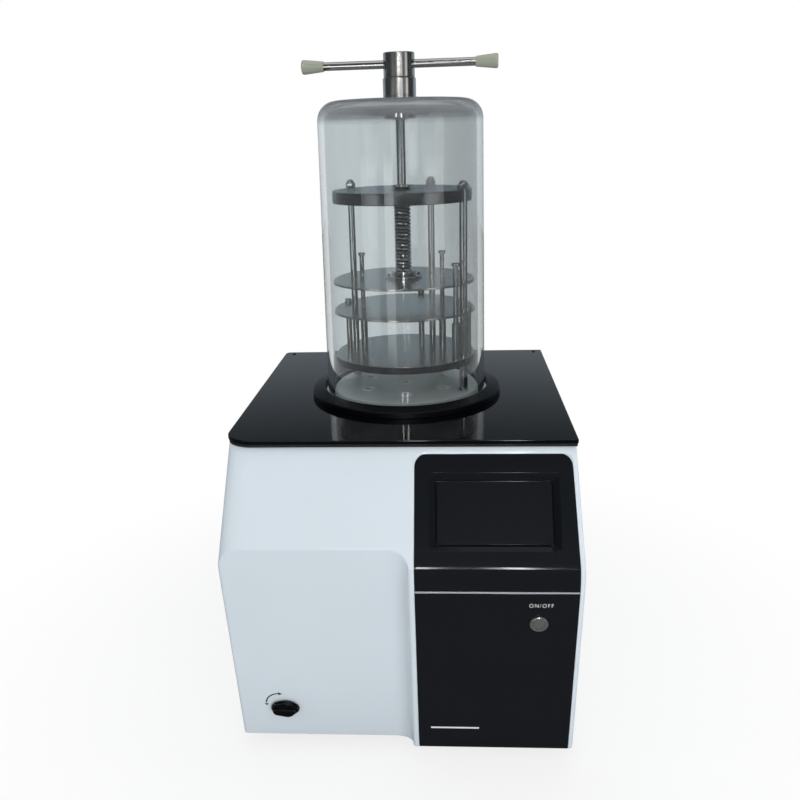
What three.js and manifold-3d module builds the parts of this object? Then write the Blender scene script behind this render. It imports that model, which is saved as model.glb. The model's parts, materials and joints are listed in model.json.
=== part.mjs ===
// Bench-top freeze dryer with a stoppering rack under a clear bell jar.
// Millimetres, +Z up, front towards -Y. The chamber's axis is the natural reference.

import * as THREE from 'three';
import { mergeVertices } from 'three/addons/utils/BufferGeometryUtils.js';
import Module from 'manifold-3d';

const wasm = await Module();
wasm.setup();

// ---- Housing ----
const GAP = 0.3;               // clearance between seated pieces
const CUT_REACH = 40;          // cutters run on past what they cut
const SPACE = 700;             // half size of the blocks that part the housing
const FOOT_HEIGHT = 20;        // table to the underside of the base pan
const SKIRT_DROP = 2;          // housing walls hang below the base pan
const HOUSING_HEIGHT = 422.5;  // walls, bottom edge to top edge
const NECK_WIDTH = 446;        // across the side walls at their top
const BASE_WIDTH = 455;        // across the side walls below the flare
const FLARE_HEIGHT = 142;      // the walls spread from neck to base over this height
const WALL = 3;
const SCREEN_LEAN = 34;        // degrees from upright, upper front
const FRONT_LEAN = 10;         // degrees from upright, lower front
const BELT_REACH = 82;         // belt in front of the top plate's front edge
const BAND_HEIGHT = 31;        // upright band of the belt
const LEFT_INSET = 21.5;       // lower left front set back from the lower right front
const STEP_X = 12;             // side of the right module
const STEP_RUN = 25;           // width of the hollow ramp beside the step
const STEP_RISE = 16;          // depth of that ramp
const STEP_EDGE = 4;           // rounded edge of the right module
const NECK_CORNER = 31;        // front left corner of the upper front
const BASE_CORNER = 6;         // front corners of the lower front
const FASCIA_DEPTH = 45;       // fascia wraps round the sides behind the plate's front edge
const PAN_THICKNESS = 3;
const FOOT_RADIUS = 20;
const FOOT_MARGIN = 62.5;       // foot's axis in from the side wall
const FOOT_FRONT_Y = -165;
const FOOT_REAR_Y = 185;

// ---- Top plate ----
const PLATE_WIDTH = 450;
const PLATE_DEPTH = 460;
const PLATE_OVERHANG = 3;      // past the housing's front and rear walls
const CHAMBER_SETBACK = 223;   // chamber axis behind the plate's front edge
const FRAME_THICKNESS = 3.2;
const FRAME_INSET = 1;
const GLASS_THICKNESS = 5.7;
const PLATE_CORNER_FRONT_LEFT = 37;
const PLATE_CORNER_REAR_LEFT = 9;
const PLATE_CORNER_RIGHT = 3;

// ---- Front panels ----
const PANEL_SINK = 2;          // black panels set into the wall
const PANEL_LEFT = 20;
const PANEL_RIGHT_MARGIN = 6.8;
const PANEL_TOP_MARGIN = 8;
const PANEL_CORNER = 14;
const TRIM_HEIGHT = 2.2;
const TRIM_PROUD = 0.4;
const DISH_WIDTH = 161;
const DISH_HEIGHT = 96.5;
const DISH_SHIFT = 0.9;         // recess right of the panel's middle
const DISH_BEVEL = 6.3;
const DISH_DEPTH = 10;
const DISH_CORNER = 7;
const DISH_WALL = 1.6;
const DISH_TOP_MARGIN = 34;    // housing's top edge to the dish, along the slope
const SCREEN_THICKNESS = 1.8;
const CONTROLLER_DEPTH = 16;
const BUTTON_MARGIN = 54.5;     // button's axis in from the right wall
const BUTTON_Z = 236;
const BUTTON_RING_RADIUS = 11.5;
const BUTTON_CAP_RADIUS = 7.25;
const BUTTON_PROUD = 3;
const BUTTON_BARREL_RADIUS = 9.4;
const BUTTON_BARREL_LENGTH = 26;
const BUTTON_CLEARANCE = 0.35;
const KNOB_MARGIN = 64;         // knob's axis in from the left wall
const KNOB_Z = 69.5;
const KNOB_RADIUS = 19.8;
const KNOB_OVAL = 0.63;         // knob's height over its width
const KNOB_HEIGHT = 9;
const KNOB_SKIRT = 3;
const KNOB_GRIP = 3;            // grip bar's rise over the knob
const KNOB_LOBES = 5;
const VALVE_STEM_RADIUS = 4.5;
const VALVE_BODY_RADIUS = 13;
const VALVE_BODY_LENGTH = 42;
const VALVE_TAIL = 12;
const HOSE_RADIUS = 7;

// ---- Chamber base and cold trap ----
const COLLAR_RADIUS = 139.5;
const COLLAR_BORE = 120.8;
const COLLAR_WALL_HEIGHT = 7.5;
const COLLAR_HEIGHT = 12.3;
const SEAL_THICKNESS = 2.5;
const POT_RADIUS = 95;
const POT_WALL = 2;
const POT_DEPTH = 198;
const POT_FLANGE = 2.5;
const POT_FLANGE_RADIUS = 118;
const POT_SPIGOT_RADIUS = 8;
const POT_SPIGOT_BORE = 5;
const POT_SPIGOT_LENGTH = 15;
const COIL_TUBE = 9;
const COIL_TURNS = 6;
const COIL_PITCH = 21;
const INSULATION_THICKNESS = 40;
const COVER_RADIUS = 106.2;
const COVER_THICKNESS = 6;
const COVER_RIM = 7;
const COVER_HOLE_RADIUS = 8;
const COVER_HOLE_CIRCLE = 62;
const COVER_HOLE_COUNT = 6;
const COVER_HOLE_START = -28;  // degrees

// ---- Bell jar ----
const JAR_BASE_RADIUS = 116.6;
const JAR_SHOULDER_RADIUS = 113.3;
const JAR_WALL = 8.6;
const JAR_HEIGHT = 407;        // rim to crown
const JAR_CROWN_RISE = 1.5;
const JAR_SHOULDER_ROUND = 26;
const JAR_INNER_ROUND = 16;
const JAR_TOP_THICKNESS = 18.4;

// ---- Gland and T-handle ----
const SHAFT_RADIUS = 6.25;
const SHAFT_CLEARANCE = 0.35;
const GLAND_RADIUS = 22.5;
const GLAND_HEIGHT = 26.2;
const GLAND_NECK_RADIUS = 11.7;
const GLAND_NUT_RADIUS = 21.5;
const GLAND_NUT_HEIGHT = 7;
const HUB_RADIUS = 21.25;
const HUB_HEIGHT = 31.5;
const BAR_RADIUS = 5.5;
const BAR_DROP = 14.5;         // hub top to the bar's axis
const HANDLE_REACH = 133;
const CAP_LENGTH = 30;
const CAP_BASE = 7;              // solid end of a cap, past the bar
const CAP_OUTER_RADIUS = 9.6;
const CAP_INNER_RADIUS = 6.7;
const HANDLE_TURN = -4;        // degrees, at rest

// ---- Stoppering rack ----
const ROD_AZIMUTHS = [-28, 65, 148];
const ROD_CIRCLE = 94;
const ROD_RADIUS = 5;
const ROD_FOOT_RADIUS = 6;
const ROD_FOOT_LENGTH = 39.2;
const ROD_NECK_RADIUS = 4;
const ROD_SHOULDER_DEPTH = 3;  // top plate left above a rod's shoulder
const SLIDE_CLEARANCE = 0.4;
const SHELF_RADIUS = 101.8;
const SHELF_THICKNESS = 3;
const BOTTOM_PLATE_THICKNESS = 11;
const TOP_PLATE_RADIUS = 98;
const TOP_PLATE_THICKNESS = 16;
const LOWER_SPACE = 62;        // bottom plate to middle shelf
const UPPER_SPACE = 39;        // middle shelf to press shelf
const DRIVE_SPACE = 108;       // press shelf to top plate
const PIN_CIRCLE = 94;
const PIN_OFFSET = 11.5;       // degrees either side of a rod
const LONG_PIN_RADIUS = 3.5;
const LONG_SLEEVE_RADIUS = 5.5;
const LONG_SLEEVE_LENGTH = 51;
const LONG_HEAD_HEIGHT = 4.3;
const SHORT_PIN_RADIUS = 4.5;
const SHORT_SCREW_RADIUS = 2.5;
const SHORT_HEAD_RADIUS = 5;
const SHORT_HEAD_HEIGHT = 5.7;
const PRESS_RISE = 22;         // upward travel
const PRESS_STOP = 1.5;        // left under the long pins' heads at the end of it
const ACORN_FLATS = 13;
const ACORN_HEX_HEIGHT = 6.5;
const ACORN_DOME_HEIGHT = 5.3;
const SCREW_RADIUS = 12;
const NUT_WALL = 4.5;
const STOP_COLLAR_RADIUS = 15;
const STOP_COLLAR_HEIGHT = 2.5;
const STOP_COLLAR_STANDOFF = 3;
const THRUST_COLLAR_RADIUS = 17.5;
const THRUST_COLLAR_HEIGHT = 5.8;
const PIVOT_RADIUS = 7.6;
const PIVOT_FLOOR = 1.5;
const FLANGE_RADIUS = 26;
const FLANGE_THICKNESS = 3.7;
const HEX_FLATS = 10.4;
const HEX_GRIP = 27;           // length of the shaft's hexagon that drives the screw
const HEX_SPARE = 2;           // clearance at both ends of the screw's travel
const SHAFT_ENGAGEMENT = 58;   // shaft inside the lead screw

// ---- Machinery ----
const COMPRESSOR_RADIUS = 68;
const COMPRESSOR_HEIGHT = 186;
const COMPRESSOR_FOOT = 8;      // mounting ring round the can
const COMPRESSOR_MARGIN = 23.5; // mounting ring in from the right wall
const COMPRESSOR_Y = -60;
const COMPRESSOR_SEAM = 4;       // weld bead round the can's middle
const COMPRESSOR_DOME = 30;
const CONDENSER_WIDTH = 220;
const CONDENSER_HEIGHT = 190;
const CONDENSER_DEPTH = 42;
const CONDENSER_X = -70;
const CONDENSER_FINS = 18;
const CONDENSER_STANDOFF = 5;  // behind it, to the rear panel
const FIN_SHARE = 0.35;        // of the fins' pitch
const FIN_SPINE = 8;
const SHROUD_DEPTH = 14;
const FAN_RADIUS = 74;
const FAN_TIP_CLEARANCE = 3;
const FAN_BLADES = 5;
const FAN_HUB_RADIUS = 17;
const FAN_SPINDLE_RADIUS = 3;
const FAN_ARM = 8;             // width of the shroud's cross arms
const FAN_ARM_THICKNESS = 3;
const FAN_CHORD = 10;
const FAN_PITCH = 62;          // degrees
const BLADE_THICKNESS = 1.6;
const PORT_PIPE_RADIUS = 12.5;
const PORT_PIPE_WALL = 2;
const PORT_FLANGE_RADIUS = 20;
const PORT_FLANGE_THICKNESS = 6;
const PORT_RING = 5;           // ring that seats on the rear panel, past the pipe
const PORT_RING_THICKNESS = 3;
const PORT_TAPER = 5;          // length of the cone behind the flange
const PORT_REACH = 31;         // past the rear panel
const PORT_Z = 412;
const INLET_MARGIN = 77.5;      // inlet's axis in from the right wall
const INLET_Z = 70;
const INLET_WIDTH = 28;
const INLET_HEIGHT = 21;
const INLET_DEPTH = 26;
const INLET_PIN_RECESS = 9;    // pin tips behind the socket's face
const INLET_PIN_LENGTH = 14;
const INLET_EAR = 10;          // mounting ears either side
const INLET_LIP = 2;           // wall of the socket
const INLET_PLATE = 2.5;       // thickness of the ears
const INLET_PINS = [[-7, -2], [0, 2], [7, -2]];
const LOUVRE_COUNT = 12;
const LOUVRE_LENGTH = 150;
const LOUVRE_HEIGHT = 5;
const LOUVRE_PITCH = 13;

// ---- Levels and reaches worked out from the sizes above ----
const rad = THREE.MathUtils.degToRad;
const wallBottom = FOOT_HEIGHT - SKIRT_DROP;
const wallTop = wallBottom + HOUSING_HEIGHT;
const frameBottom = wallTop + GAP;
const glassBottom = frameBottom + FRAME_THICKNESS + GAP;
const plateTop = glassBottom + GLASS_THICKNESS;
const plateFront = -CHAMBER_SETBACK;
const plateRear = plateFront + PLATE_DEPTH;
const neckFront = plateFront + PLATE_OVERHANG;
const beltFront = plateFront - BELT_REACH;
const housingRear = plateRear - PLATE_OVERHANG;
const foldLevel = wallTop - (neckFront - beltFront) / Math.tan(rad(SCREEN_LEAN));
const trimTop = foldLevel - BAND_HEIGHT;
const trimBottom = trimTop - TRIM_HEIGHT;
const fasciaEdge = plateFront + FASCIA_DEPTH;
const flareSlope = (BASE_WIDTH - NECK_WIDTH) / 2 / FLARE_HEIGHT;
const panelRight = BASE_WIDTH / 2 - PANEL_RIGHT_MARGIN;
const panFloor = FOOT_HEIGHT + PAN_THICKNESS;
const flangeBottom = plateTop + GAP;
const flangeTop = flangeBottom + POT_FLANGE;
const sealBottom = flangeTop + GAP;
const sealTop = sealBottom + SEAL_THICKNESS;
const jarBase = sealTop + GAP;
const jarCrown = jarBase + JAR_HEIGHT;
const jarCeiling = jarCrown - JAR_TOP_THICKNESS;
const coverBottom = sealTop + 2 * GAP;
const coverTop = coverBottom + COVER_THICKNESS;
const glandBottom = jarCrown + GAP;
const glandTop = glandBottom + GLAND_HEIGHT;
const hubBottom = glandTop + 2 * GAP;
const hubTop = hubBottom + HUB_HEIGHT;
const barLevel = hubTop - BAR_DROP;
const shaftTop = barLevel - BAR_RADIUS - 2 * GAP;
const potBottom = flangeTop - POT_DEPTH;
const rodFoot = coverTop + GAP;
const bottomPlateLow = rodFoot + ROD_FOOT_LENGTH + GAP;
const bottomPlateTop = bottomPlateLow + BOTTOM_PLATE_THICKNESS;
const middleLow = bottomPlateTop + LOWER_SPACE;
const middleTop = middleLow + SHELF_THICKNESS;
const pressLow = middleTop + UPPER_SPACE;
const pressTop = pressLow + SHELF_THICKNESS;
const topPlateLow = pressTop + DRIVE_SPACE;
const topPlateTop = topPlateLow + TOP_PLATE_THICKNESS;
const screwBottom = pressTop + GAP + FLANGE_THICKNESS + GAP;
const screwTop = topPlateTop + STOP_COLLAR_STANDOFF;
const shaftBottom = screwTop - SHAFT_ENGAGEMENT;
const hexTop = shaftBottom + HEX_GRIP + PRESS_RISE + HEX_SPARE;
const socketFloor = shaftBottom - PRESS_RISE - HEX_SPARE;
const footX = BASE_WIDTH / 2 - FOOT_MARGIN;
const buttonX = BASE_WIDTH / 2 - BUTTON_MARGIN;
const knobX = KNOB_MARGIN - BASE_WIDTH / 2;
const inletX = BASE_WIDTH / 2 - INLET_MARGIN;
const compressorX = BASE_WIDTH / 2 - COMPRESSOR_MARGIN - COMPRESSOR_FOOT - COMPRESSOR_RADIUS;
const panelNeck = NECK_WIDTH / 2 - PANEL_RIGHT_MARGIN;
const dishCentreX = (PANEL_LEFT + panelNeck) / 2 + DISH_SHIFT;
const panelSlide = rad(FRONT_LEAN);
const screenTilt = rad(90 - SCREEN_LEAN);
const frontTilt = rad(90 + FRONT_LEAN);
const condenserRear = housingRear - WALL - CONDENSER_STANDOFF;
const condenserFront = condenserRear - CONDENSER_DEPTH;
const shroudRear = condenserFront - GAP;
const shroudFront = shroudRear - SHROUD_DEPTH;
const fanLevel = panFloor + GAP + CONDENSER_HEIGHT / 2;
const portFace = housingRear + PORT_REACH;

// ---- Facets round a turned piece ----
const ROUND = 40;
const FINE = 20;
const COARSE = 10;

// ---- Finishes ----
function finish(hex, roughness, metalness, opacity = 1) {
  const look = new THREE.MeshStandardMaterial({ color: hex, roughness, metalness });
  look.transparent = opacity < 1;
  look.opacity = opacity;
  return look;
}

const LOOKS = {
  shell: () => finish(0xd2dae2, 0.35, 0),
  blackPanel: () => finish(0x15171a, 0.18, 0),
  blackGlass: () => finish(0x0b0c0e, 0.06, 0),
  screen: () => finish(0x1b1e22, 0.12, 0),
  trim: () => finish(0xa8a8ac, 0.3, 0.9),
  steel: () => finish(0xb4b6b6, 0.28, 1),
  shelfSteel: () => finish(0x9ea2a2, 0.22, 1),
  darkSteel: () => finish(0x55585a, 0.35, 1),
  brass: () => finish(0xb08d57, 0.35, 1),
  copper: () => finish(0xb87352, 0.35, 1),
  rubber: () => finish(0x101114, 0.7, 0),
  silicone: () => finish(0xc9cdd0, 0.5, 0),
  plastic: () => finish(0x1a1b1e, 0.45, 0),
  coverGrey: () => finish(0x8d9596, 0.3, 0.2),
  acrylic: () => finish(0xc6d2d6, 0.05, 0, 0.3),
  grip: () => finish(0xa8ab9c, 0.45, 0),
  foam: () => finish(0x2b2c2e, 0.95, 0),
  castBlack: () => finish(0x1c1d1f, 0.5, 0.4),
  board: () => finish(0x2a2d31, 0.5, 0.1),
};

// ---- Geometry helpers ----
function place(geometry, x = 0, y = 0, z = 0, rx = 0, ry = 0, rz = 0) {
  const turn = new THREE.Quaternion().setFromEuler(new THREE.Euler(rx, ry, rz));
  const matrix = new THREE.Matrix4().compose(new THREE.Vector3(x, y, z), turn, new THREE.Vector3(1, 1, 1));
  return geometry.applyMatrix4(matrix);
}

function welded(geometry) {
  const bare = geometry.clone();
  bare.deleteAttribute('normal');
  bare.deleteAttribute('uv');
  return mergeVertices(bare, 1e-4);
}

function wholeTriangles(indices) {
  const kept = [];
  for (let i = 0; i < indices.length; i += 3) {
    const [a, b, c] = indices.subarray(i, i + 3);
    if (a !== b && b !== c && c !== a) kept.push(a, b, c);
  }
  return kept;
}

function enclosedVolume(positions, triangles) {
  let total = 0;
  for (let i = 0; i < triangles.length; i += 3) {
    const corner = (k) => new THREE.Vector3().fromBufferAttribute(positions, triangles[i + k]);
    const [a, b, c] = [corner(0), corner(1), corner(2)];
    total += a.dot(b.cross(c)) / 6;
  }
  return total;
}

function solid(geometry) {
  const merged = welded(geometry);
  const triangles = Uint32Array.from(wholeTriangles(merged.index.array));
  if (enclosedVolume(merged.attributes.position, triangles) < 0) triangles.reverse();
  const vertProperties = Float32Array.from(merged.attributes.position.array);
  return new wasm.Manifold(new wasm.Mesh({ numProp: 3, vertProperties, triVerts: triangles }));
}

function geometryOf(body) {
  const mesh = body.getMesh();
  const geometry = new THREE.BufferGeometry();
  const positions = new Float32Array((mesh.vertProperties.length / mesh.numProp) * 3);
  for (let v = 0; v < positions.length / 3; v += 1) {
    positions.set(mesh.vertProperties.subarray(v * mesh.numProp, v * mesh.numProp + 3), v * 3);
  }
  geometry.setAttribute('position', new THREE.BufferAttribute(positions, 3));
  geometry.setIndex(new THREE.BufferAttribute(Uint32Array.from(mesh.triVerts), 1));
  geometry.computeVertexNormals();
  return geometry;
}

function piece(name, body, look) {
  const geometry = geometryOf(body instanceof THREE.BufferGeometry ? solid(body) : body);
  const mesh = new THREE.Mesh(geometry, look());
  mesh.name = name;
  return mesh;
}

function turned(profile, segments = FINE) {
  const points = profile.map(([r, z]) => new THREE.Vector2(r, z));
  if (profile[0][0] > 0) points.push(points[0].clone());
  return new THREE.LatheGeometry(points, segments).rotateX(Math.PI / 2);
}

function rod(radius, z0, z1, segments = COARSE) {
  return turned([[0, z0], [radius, z0], [radius, z1], [0, z1]], segments);
}

// A cutter whose flats clear the round piece that the hole is for.
function bore(radius, z0, z1, segments = COARSE) {
  return rod(radius / Math.cos(Math.PI / segments), z0, z1, segments);
}

function prism(shape, z0, z1, curveSegments = 12) {
  const geometry = new THREE.ExtrudeGeometry(shape, { depth: z1 - z0, bevelEnabled: false, curveSegments });
  return geometry.translate(0, 0, z0);
}

function block(x0, x1, y0, y1, z0, z1) {
  const geometry = new THREE.BoxGeometry(x1 - x0, y1 - y0, z1 - z0);
  return geometry.translate((x0 + x1) / 2, (y0 + y1) / 2, (z0 + z1) / 2);
}

function reshape(geometry, move) {
  const positions = geometry.attributes.position;
  const point = new THREE.Vector3();
  for (let i = 0; i < positions.count; i += 1) {
    point.fromBufferAttribute(positions, i);
    move(point);
    positions.setXYZ(i, point.x, point.y, point.z);
  }
  return geometry;
}

function arc(centreX, centreY, radius, from, to, steps = 8) {
  const points = [];
  for (let i = 0; i <= steps; i += 1) {
    const angle = rad(from + ((to - from) * i) / steps);
    points.push([centreX + radius * Math.cos(angle), centreY + radius * Math.sin(angle)]);
  }
  return points;
}

function shapeOf(points) {
  return new THREE.Shape(points.map(([x, y]) => new THREE.Vector2(x, y)));
}

function roundedRectangle(width, height, radius) {
  const halfW = width / 2;
  const halfH = height / 2;
  return shapeOf([
    ...arc(halfW - radius, halfH - radius, radius, 0, 90, 5),
    ...arc(radius - halfW, halfH - radius, radius, 90, 180, 5),
    ...arc(radius - halfW, radius - halfH, radius, 180, 270, 5),
    ...arc(halfW - radius, radius - halfH, radius, 270, 360, 5),
  ]);
}

function hexagon(flats) {
  return shapeOf(arc(0, 0, flats / Math.sqrt(3), 0, 300, 5));
}

function onCircle(radius, azimuth) {
  return [radius * Math.cos(rad(azimuth)), radius * Math.sin(rad(azimuth))];
}

function unite(first, ...rest) {
  return rest.reduce((total, next) => total.add(next), first);
}

// ---- Housing ----
// The housing is what three slanted bodies have in common: the upper front leans back, the lower
// front leans under with its left part set back, and the side walls flare below the neck.
function upperBody(inset, low, high) {
  const slope = Math.tan(rad(SCREEN_LEAN));
  const half = NECK_WIDTH / 2 - inset;
  const front = neckFront + inset / Math.cos(rad(SCREEN_LEAN));
  const back = housingRear + HOUSING_HEIGHT;
  const left = NECK_CORNER - inset;
  const right = Math.max(BASE_CORNER - inset, 1);
  const outline = shapeOf([
    ...arc(left - half, front + left, left, 180, 270, 10),
    ...arc(half - right, front + right, right, 270, 360, 4),
    [half, back],
    [-half, back],
  ]);
  const levels = [low, wallTop - FLARE_HEIGHT, high];
  const layers = new THREE.ExtrudeGeometry(outline, { depth: 2, steps: 2, bevelEnabled: false });
  return solid(reshape(layers, (p) => {
    p.z = levels[Math.round(p.z)];
    p.x += Math.sign(p.x) * Math.min(wallTop - p.z, FLARE_HEIGHT) * flareSlope;
    p.y -= (wallTop - p.z) * slope;
  }));
}

function lowerBody(inset, low, high) {
  const slope = Math.tan(panelSlide);
  const half = BASE_WIDTH / 2 - inset;
  const right = beltFront + inset / Math.cos(panelSlide);
  const left = right + LEFT_INSET;
  const edge = Math.max(STEP_EDGE - inset, 0.8);
  const side = STEP_X + inset;
  const corner = Math.max(BASE_CORNER - inset, 1);
  const ramp = [];
  for (let i = 0; i <= 8; i += 1) {
    const angle = (i / 8) * (Math.PI / 2);
    const run = STEP_RUN + inset;
    const rise = STEP_RISE + inset;
    ramp.push([side - run + run * Math.sin(angle), left - rise + rise * Math.cos(angle)]);
  }
  const outline = shapeOf([
    ...arc(corner - half, left + corner, corner, 180, 270, 3),
    ...ramp,
    ...arc(side + edge, right + edge, edge, 180, 270, 3),
    ...arc(half - corner, right + corner, corner, 270, 360, 3),
    [half, housingRear + HOUSING_HEIGHT],
    [-half, housingRear + HOUSING_HEIGHT],
  ]);
  return solid(reshape(prism(outline, low, high), (p) => {
    p.y += (trimTop - p.z) * slope;
  }));
}

function sideWalls(inset, low, high) {
  const neck = NECK_WIDTH / 2 - inset;
  const base = BASE_WIDTH / 2 - inset;
  const flareFoot = wallTop - FLARE_HEIGHT;
  const outline = shapeOf([
    [-base, low],
    [base, low],
    [base, flareFoot],
    [neck, wallTop],
    [neck, high + 1],
    [-neck, high + 1],
    [-neck, wallTop],
    [-base, flareFoot],
  ]);
  const back = housingRear - inset;
  const front = beltFront + inset;
  return solid(place(prism(outline, -back, -front), 0, 0, 0, Math.PI / 2));
}

function housingBody(inset, low = wallBottom - 10, high = wallTop + 10) {
  return upperBody(inset, low, high)
    .intersect(lowerBody(inset, low, high))
    .intersect(sideWalls(inset, low, high));
}

function slopePoint(along) {
  const lean = rad(SCREEN_LEAN);
  return [neckFront - along * Math.sin(lean), wallTop - along * Math.cos(lean)];
}

function frontPoint(z, isLeft) {
  return beltFront + (isLeft ? LEFT_INSET : 0) + (trimTop - z) * Math.tan(panelSlide);
}

// A body made in a panel's own frame, its outward face on z = 0, is carried to its place.
function onScreenPanel(geometry, x, along) {
  const [y, z] = slopePoint(along);
  return place(geometry, x, y, z, screenTilt);
}

function onFrontPanel(geometry, x, z, isLeft) {
  return place(geometry, x, frontPoint(z, isLeft), z, frontTilt);
}

const dishAlong = DISH_TOP_MARGIN + DISH_HEIGHT / 2;

function dishBody(grow, top, bottom) {
  const outline = roundedRectangle(DISH_WIDTH + 2 * grow, DISH_HEIGHT + 2 * grow, DISH_CORNER + grow);
  const narrowX = 1 - (2 * DISH_BEVEL) / DISH_WIDTH;
  const narrowY = 1 - (2 * DISH_BEVEL) / DISH_HEIGHT;
  const geometry = reshape(prism(outline, 0, 1, 4), (p) => {
    const depth = bottom + (top - bottom) * p.z;
    const share = -depth / DISH_DEPTH;
    p.x *= 1 + (narrowX - 1) * share;
    p.y *= 1 + (narrowY - 1) * share;
    p.z = depth;
  });
  return solid(onScreenPanel(geometry, dishCentreX, dishAlong));
}

function panelWindow(grow, z0, z1, cornered) {
  const left = PANEL_LEFT - grow;
  const right = panelRight + grow;
  const radius = PANEL_CORNER + grow;
  const neckRight = panelNeck + grow;
  const kneeZ = wallTop - FLARE_HEIGHT;
  const outline = cornered
    ? [[left, z0], [right, z0], [right, kneeZ], ...arc(neckRight - radius, z1 - radius, radius, 0, 90, 6),
      ...arc(left + radius, z1 - radius, radius, 90, 180, 6)]
    : [[left, z0], [right, z0], [right, z1], [left, z1]];
  return solid(place(prism(shapeOf(outline), -fasciaEdge, CUT_REACH - beltFront), 0, 0, 0, Math.PI / 2));
}

const panelTop = wallTop - PANEL_TOP_MARGIN;

function makeHousing() {
  const outer = housingBody(0, wallBottom, wallTop);
  const shell = outer.subtract(housingBody(WALL));
  const front = solid(block(-SPACE, SPACE, -SPACE, fasciaEdge, 0, SPACE));
  const sides = solid(block(-SPACE, SPACE, fasciaEdge + GAP, housingRear - WALL - GAP, 0, SPACE));
  const leftHalf = solid(block(-SPACE, 0, -SPACE, SPACE, 0, SPACE));

  const skin = outer.subtract(housingBody(PANEL_SINK));
  const pocketSkin = solid(block(-SPACE, SPACE, -SPACE, fasciaEdge, -CUT_REACH, SPACE))
    .subtract(housingBody(PANEL_SINK + GAP));
  const barrelBore = bore(BUTTON_BARREL_RADIUS + GAP, -CUT_REACH, CUT_REACH);
  const buttonHole = solid(onFrontPanel(barrelBore, buttonX, BUTTON_Z, false));
  const stemBore = bore(VALVE_STEM_RADIUS + GAP, -CUT_REACH, CUT_REACH);
  const valveHole = solid(onFrontPanel(stemBore, knobX, KNOB_Z, true));
  const upperPocket = pocketSkin.intersect(panelWindow(GAP, trimBottom - GAP, panelTop + GAP, true));
  const lowerPocket = pocketSkin.intersect(panelWindow(GAP, wallBottom - 5, trimTop + GAP, false));
  const fascia = shell.intersect(front)
    .subtract(upperPocket)
    .subtract(lowerPocket)
    .subtract(dishBody(DISH_WALL + GAP, CUT_REACH, -DISH_DEPTH - CUT_REACH))
    .subtract(buttonHole)
    .subtract(valveHole);

  const bezel = skin.intersect(panelWindow(0, trimTop + GAP, panelTop, true))
    .add(dishBody(DISH_WALL, -PANEL_SINK / 2, -DISH_DEPTH - DISH_WALL))
    .subtract(dishBody(0, CUT_REACH, -DISH_DEPTH));

  const lowerPanel = skin.intersect(panelWindow(0, wallBottom, trimBottom - GAP, false))
    .subtract(buttonHole);

  const proud = housingBody(-TRIM_PROUD, wallBottom, wallTop);
  const trim = proud.subtract(housingBody(PANEL_SINK)).intersect(panelWindow(0, trimBottom, trimTop, false));

  const walls = shell.intersect(sides);
  const panLayer = solid(block(-SPACE, SPACE, -SPACE, SPACE, FOOT_HEIGHT, panFloor));
  const panBody = housingBody(WALL + GAP).intersect(panLayer);
  return [
    piece('front_fascia', fascia, LOOKS.shell),
    piece('display_bezel', bezel, LOOKS.blackPanel),
    piece('lower_panel', lowerPanel, LOOKS.blackPanel),
    piece('trim_strip', trim, LOOKS.trim),
    piece('left_side_panel', walls.intersect(leftHalf), LOOKS.shell),
    piece('right_side_panel', walls.subtract(leftHalf), LOOKS.shell),
    piece('rear_panel', makeRearPanel(shell), LOOKS.shell),
    piece('base_pan', panBody, LOOKS.darkSteel),
  ];
}

function makeRearPanel(shell) {
  let panel = shell.intersect(solid(block(-SPACE, SPACE, housingRear - WALL, SPACE, 0, SPACE)));
  const slotBase = fanLevel - ((LOUVRE_COUNT - 1) * LOUVRE_PITCH) / 2;
  for (let i = 0; i < LOUVRE_COUNT; i += 1) {
    const z = slotBase + i * LOUVRE_PITCH;
    const [x0, x1] = [CONDENSER_X - LOUVRE_LENGTH / 2, CONDENSER_X + LOUVRE_LENGTH / 2];
    panel = panel.subtract(solid(block(x0, x1, 0, SPACE, z, z + LOUVRE_HEIGHT)));
  }
  const port = place(bore(PORT_PIPE_RADIUS + GAP, -10, 10), 0, housingRear, PORT_Z, Math.PI / 2);
  const [w, h] = [INLET_WIDTH / 2 + GAP, INLET_HEIGHT / 2 + GAP];
  const inlet = block(inletX - w, inletX + w, 0, SPACE, INLET_Z - h, INLET_Z + h);
  return panel.subtract(solid(port)).subtract(solid(inlet));
}

function makeFeet() {
  const spots = [
    ['foot_front_left', -footX, FOOT_FRONT_Y],
    ['foot_front_right', footX, FOOT_FRONT_Y],
    ['foot_rear_left', -footX, FOOT_REAR_Y],
    ['foot_rear_right', footX, FOOT_REAR_Y],
  ];
  const top = FOOT_HEIGHT - GAP;
  return spots.map(([name, x, y]) => {
    const outline = [[0, 0], [FOOT_RADIUS - 3, 0], [FOOT_RADIUS - 2, 1], [FOOT_RADIUS, top], [0, top]];
    const body = turned(outline, 20);
    const foot = piece(name, body, LOOKS.rubber);
    foot.position.set(x, y, 0);
    return foot;
  });
}

// ---- Front controls ----
function makeScreen() {
  const width = DISH_WIDTH - 2 * DISH_BEVEL - 1;
  const height = DISH_HEIGHT - 2 * DISH_BEVEL - 1;
  const [y, z] = slopePoint(dishAlong);
  const mount = new THREE.Group();
  mount.position.set(dishCentreX, y, z);
  mount.rotation.x = screenTilt;
  const floor = -DISH_DEPTH + GAP;
  const glass = prism(roundedRectangle(width, height, DISH_CORNER), floor, floor + SCREEN_THICKNESS, 4);
  mount.add(piece('screen_glass', glass, LOOKS.screen));
  const back = -DISH_DEPTH - DISH_WALL - GAP;
  const unit = solid(block(-width / 2, width / 2, -height / 2, height / 2, back - 4, back));
  const deep = back - CONTROLLER_DEPTH;
  const parts = solid(block(-width / 4, width / 4, -height / 4, height / 4, deep, back - 3));
  mount.add(piece('display_controller', unite(unit, parts), LOOKS.board));
  return mount;
}

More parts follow.
